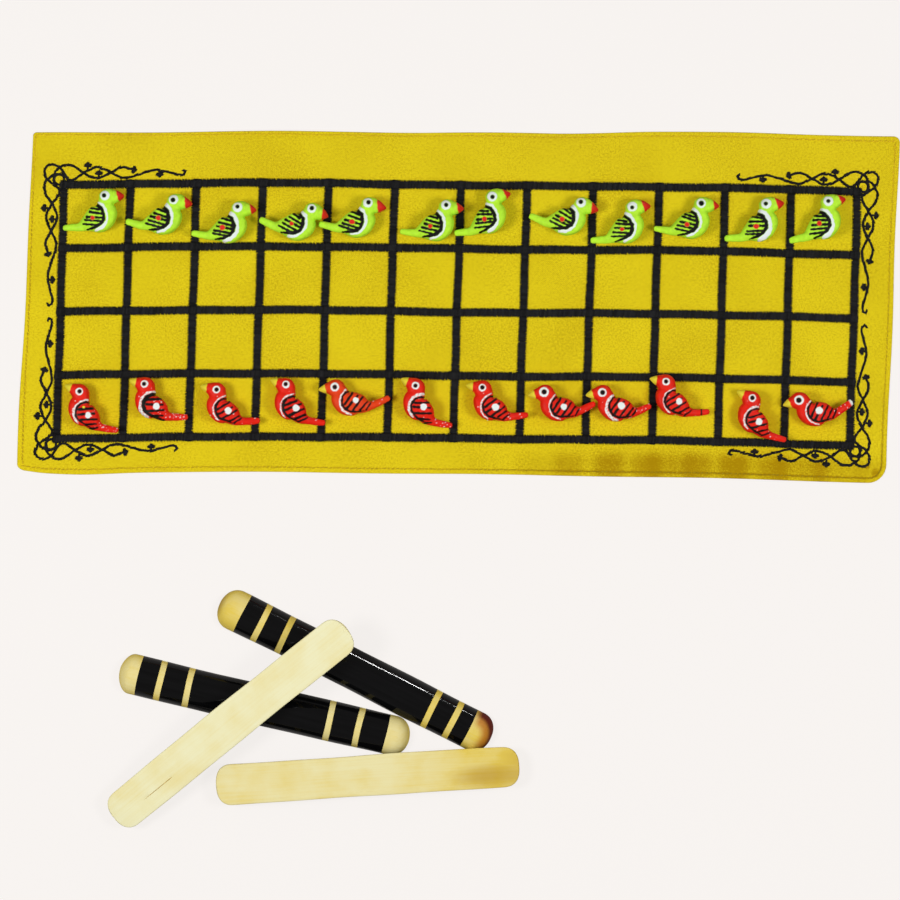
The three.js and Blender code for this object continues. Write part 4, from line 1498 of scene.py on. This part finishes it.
def pale_board(settings):
    # Matt painted board: even and pale, and it keeps a faint shadow
    material, tree, shader = new_material("matt_pale_board")
    feed(tree, shader, {
        "Base Color": opaque(settings.floor, FLOOR_SHADE), "Roughness": 1.0, "Specular IOR Level": 0.0})
    seen = add_node(tree, "ShaderNodeLightPath").outputs["Is Camera Ray"]
    glow = {"Color": opaque(settings.floor), "Strength": FLOOR_GLOW}
    layers = {
        0: worked(tree, "MULTIPLY", seen, GLOW_SHARE), 1: shader.outputs[0],
        2: add_node(tree, "ShaderNodeEmission", glow).outputs[0],
    }
    surface = add_node(tree, "ShaderNodeMixShader", layers).outputs[0]
    feed(tree, tree.nodes["Material Output"], {"Surface": surface})
    return material


def soft_room(settings):
    """A world in the floor's colour, which gives less light than it shows."""
    world = bpy.data.worlds.new("soft_room")
    world.use_nodes = True
    tree = world.node_tree
    rays = add_node(tree, "ShaderNodeLightPath").outputs
    direct = worked(tree, "MAXIMUM", rays["Is Camera Ray"], rays["Is Transmission Ray"])
    strength = spread(tree, direct, 0.0, 1.0, settings.sky, 1.0)
    feed(tree, tree.nodes["Background"], {"Color": opaque(settings.floor), "Strength": strength})
    return world


def hang_lamp(name, lit, away, shape, size, energy):
    """Hang an area lamp away from the place that it is to light, facing it."""
    facing = away.to_track_quat("Z", "Y").to_euler()
    bpy.ops.object.light_add(type="AREA", location=lit + away, rotation=facing)
    lamp = named(name)
    lamp.data.shape = shape
    lamp.data.size = size
    lamp.data.energy = energy
    return lamp


class GAMESET_OT_set_stage(bpy.types.Operator):
    """Lay the pale floor, hang the soft lamps and set the camera straight above"""

    bl_idname = "gameset.set_stage"
    bl_label = "Set the stage"

    def execute(self, context):
        settings = context.scene.gameset_stage
        scene = context.scene
        scene.view_settings.view_transform = "Standard"
        clear_selection()
        bpy.ops.mesh.primitive_plane_add(size=FLOOR_SPAN)
        floor = named("pale_floor")
        floor.data.materials.append(pale_board(settings))
        scene.world = soft_room(settings)
        for name, side, share in (("soft_left_lamp", -1, 0.54), ("soft_right_lamp", 1, 0.46)):
            place = Vector((side * settings.lamp_reach, -settings.lamp_nearer, settings.lamp_height))
            energy = share * settings.key * math.pi ** 2 * place.length ** 3 / place.z
            hang_lamp(name, Vector(), place, "DISK", settings.lamp_size, energy)
        # Narrow window slit off to one side: draws the line of light along the lacquer, and only that
        heading, rise = math.radians(SLIT_HEADING), math.radians(SLIT_RISE)
        away = Vector((math.sin(heading), math.cos(heading), math.tan(rise)))
        wide, high = SLIT_SIZE
        slit = hang_lamp("narrow_window_slit", Vector(SLIT_LIT) * MM, away, "RECTANGLE", wide, SLIT_POWER)
        slit.data.size_y = high
        slit.visible_diffuse = False
        place = (VIEW_MIDDLE[0] * MM, VIEW_MIDDLE[1] * MM, settings.camera_height)
        bpy.ops.object.camera_add(location=place, rotation=(0, 0, VIEW_TURN))
        camera = named("camera_above")
        camera.data.sensor_width = SENSOR
        camera.data.lens = SENSOR * settings.camera_height / settings.view_width
        camera.data.clip_end = 50.0
        scene.camera = camera
        return {"FINISHED"}


class GAMESET_PT_sidebar(bpy.types.Panel):
    """The pieces of the set and their sizes and colours"""

    bl_idname = "GAMESET_PT_sidebar"
    bl_label = "Game set"
    bl_space_type = "VIEW_3D"
    bl_region_type = "UI"
    bl_category = "Game set"

    def draw(self, context):
        for operator in OPERATORS:
            self.layout.operator(operator.bl_idname)
        for name in SETTINGS:
            group = getattr(context.scene, name)
            box = self.layout.box()
            for key in group.__annotations__:
                box.prop(group, key)


SETTINGS = {
    "gameset_mat": MatSettings,
    "gameset_birds": BirdSettings,
    "gameset_sticks": StickSettings,
    "gameset_stage": StageSettings,
}
OPERATORS = (
    GAMESET_OT_lay_cloth, GAMESET_OT_sew_hem, GAMESET_OT_stitch_grid, GAMESET_OT_stitch_vines,
    GAMESET_OT_carve_green_birds, GAMESET_OT_carve_red_birds, GAMESET_OT_turn_sticks, GAMESET_OT_set_stage,
)


def register():
    for group in SETTINGS.values():
        bpy.utils.register_class(group)
    for name, group in SETTINGS.items():
        setattr(bpy.types.Scene, name, bpy.props.PointerProperty(type=group))
    for operator in OPERATORS:
        bpy.utils.register_class(operator)
    bpy.utils.register_class(GAMESET_PT_sidebar)


def unregister():
    bpy.utils.unregister_class(GAMESET_PT_sidebar)
    for operator in reversed(OPERATORS):
        bpy.utils.unregister_class(operator)
    for name, group in SETTINGS.items():
        delattr(bpy.types.Scene, name)
        bpy.utils.unregister_class(group)


def main():
    register()
    clear_selection()
    for operator in OPERATORS:
        family, name = operator.bl_idname.split(".")
        getattr(getattr(bpy.ops, family), name)()


if __name__ == "__main__":
    main()
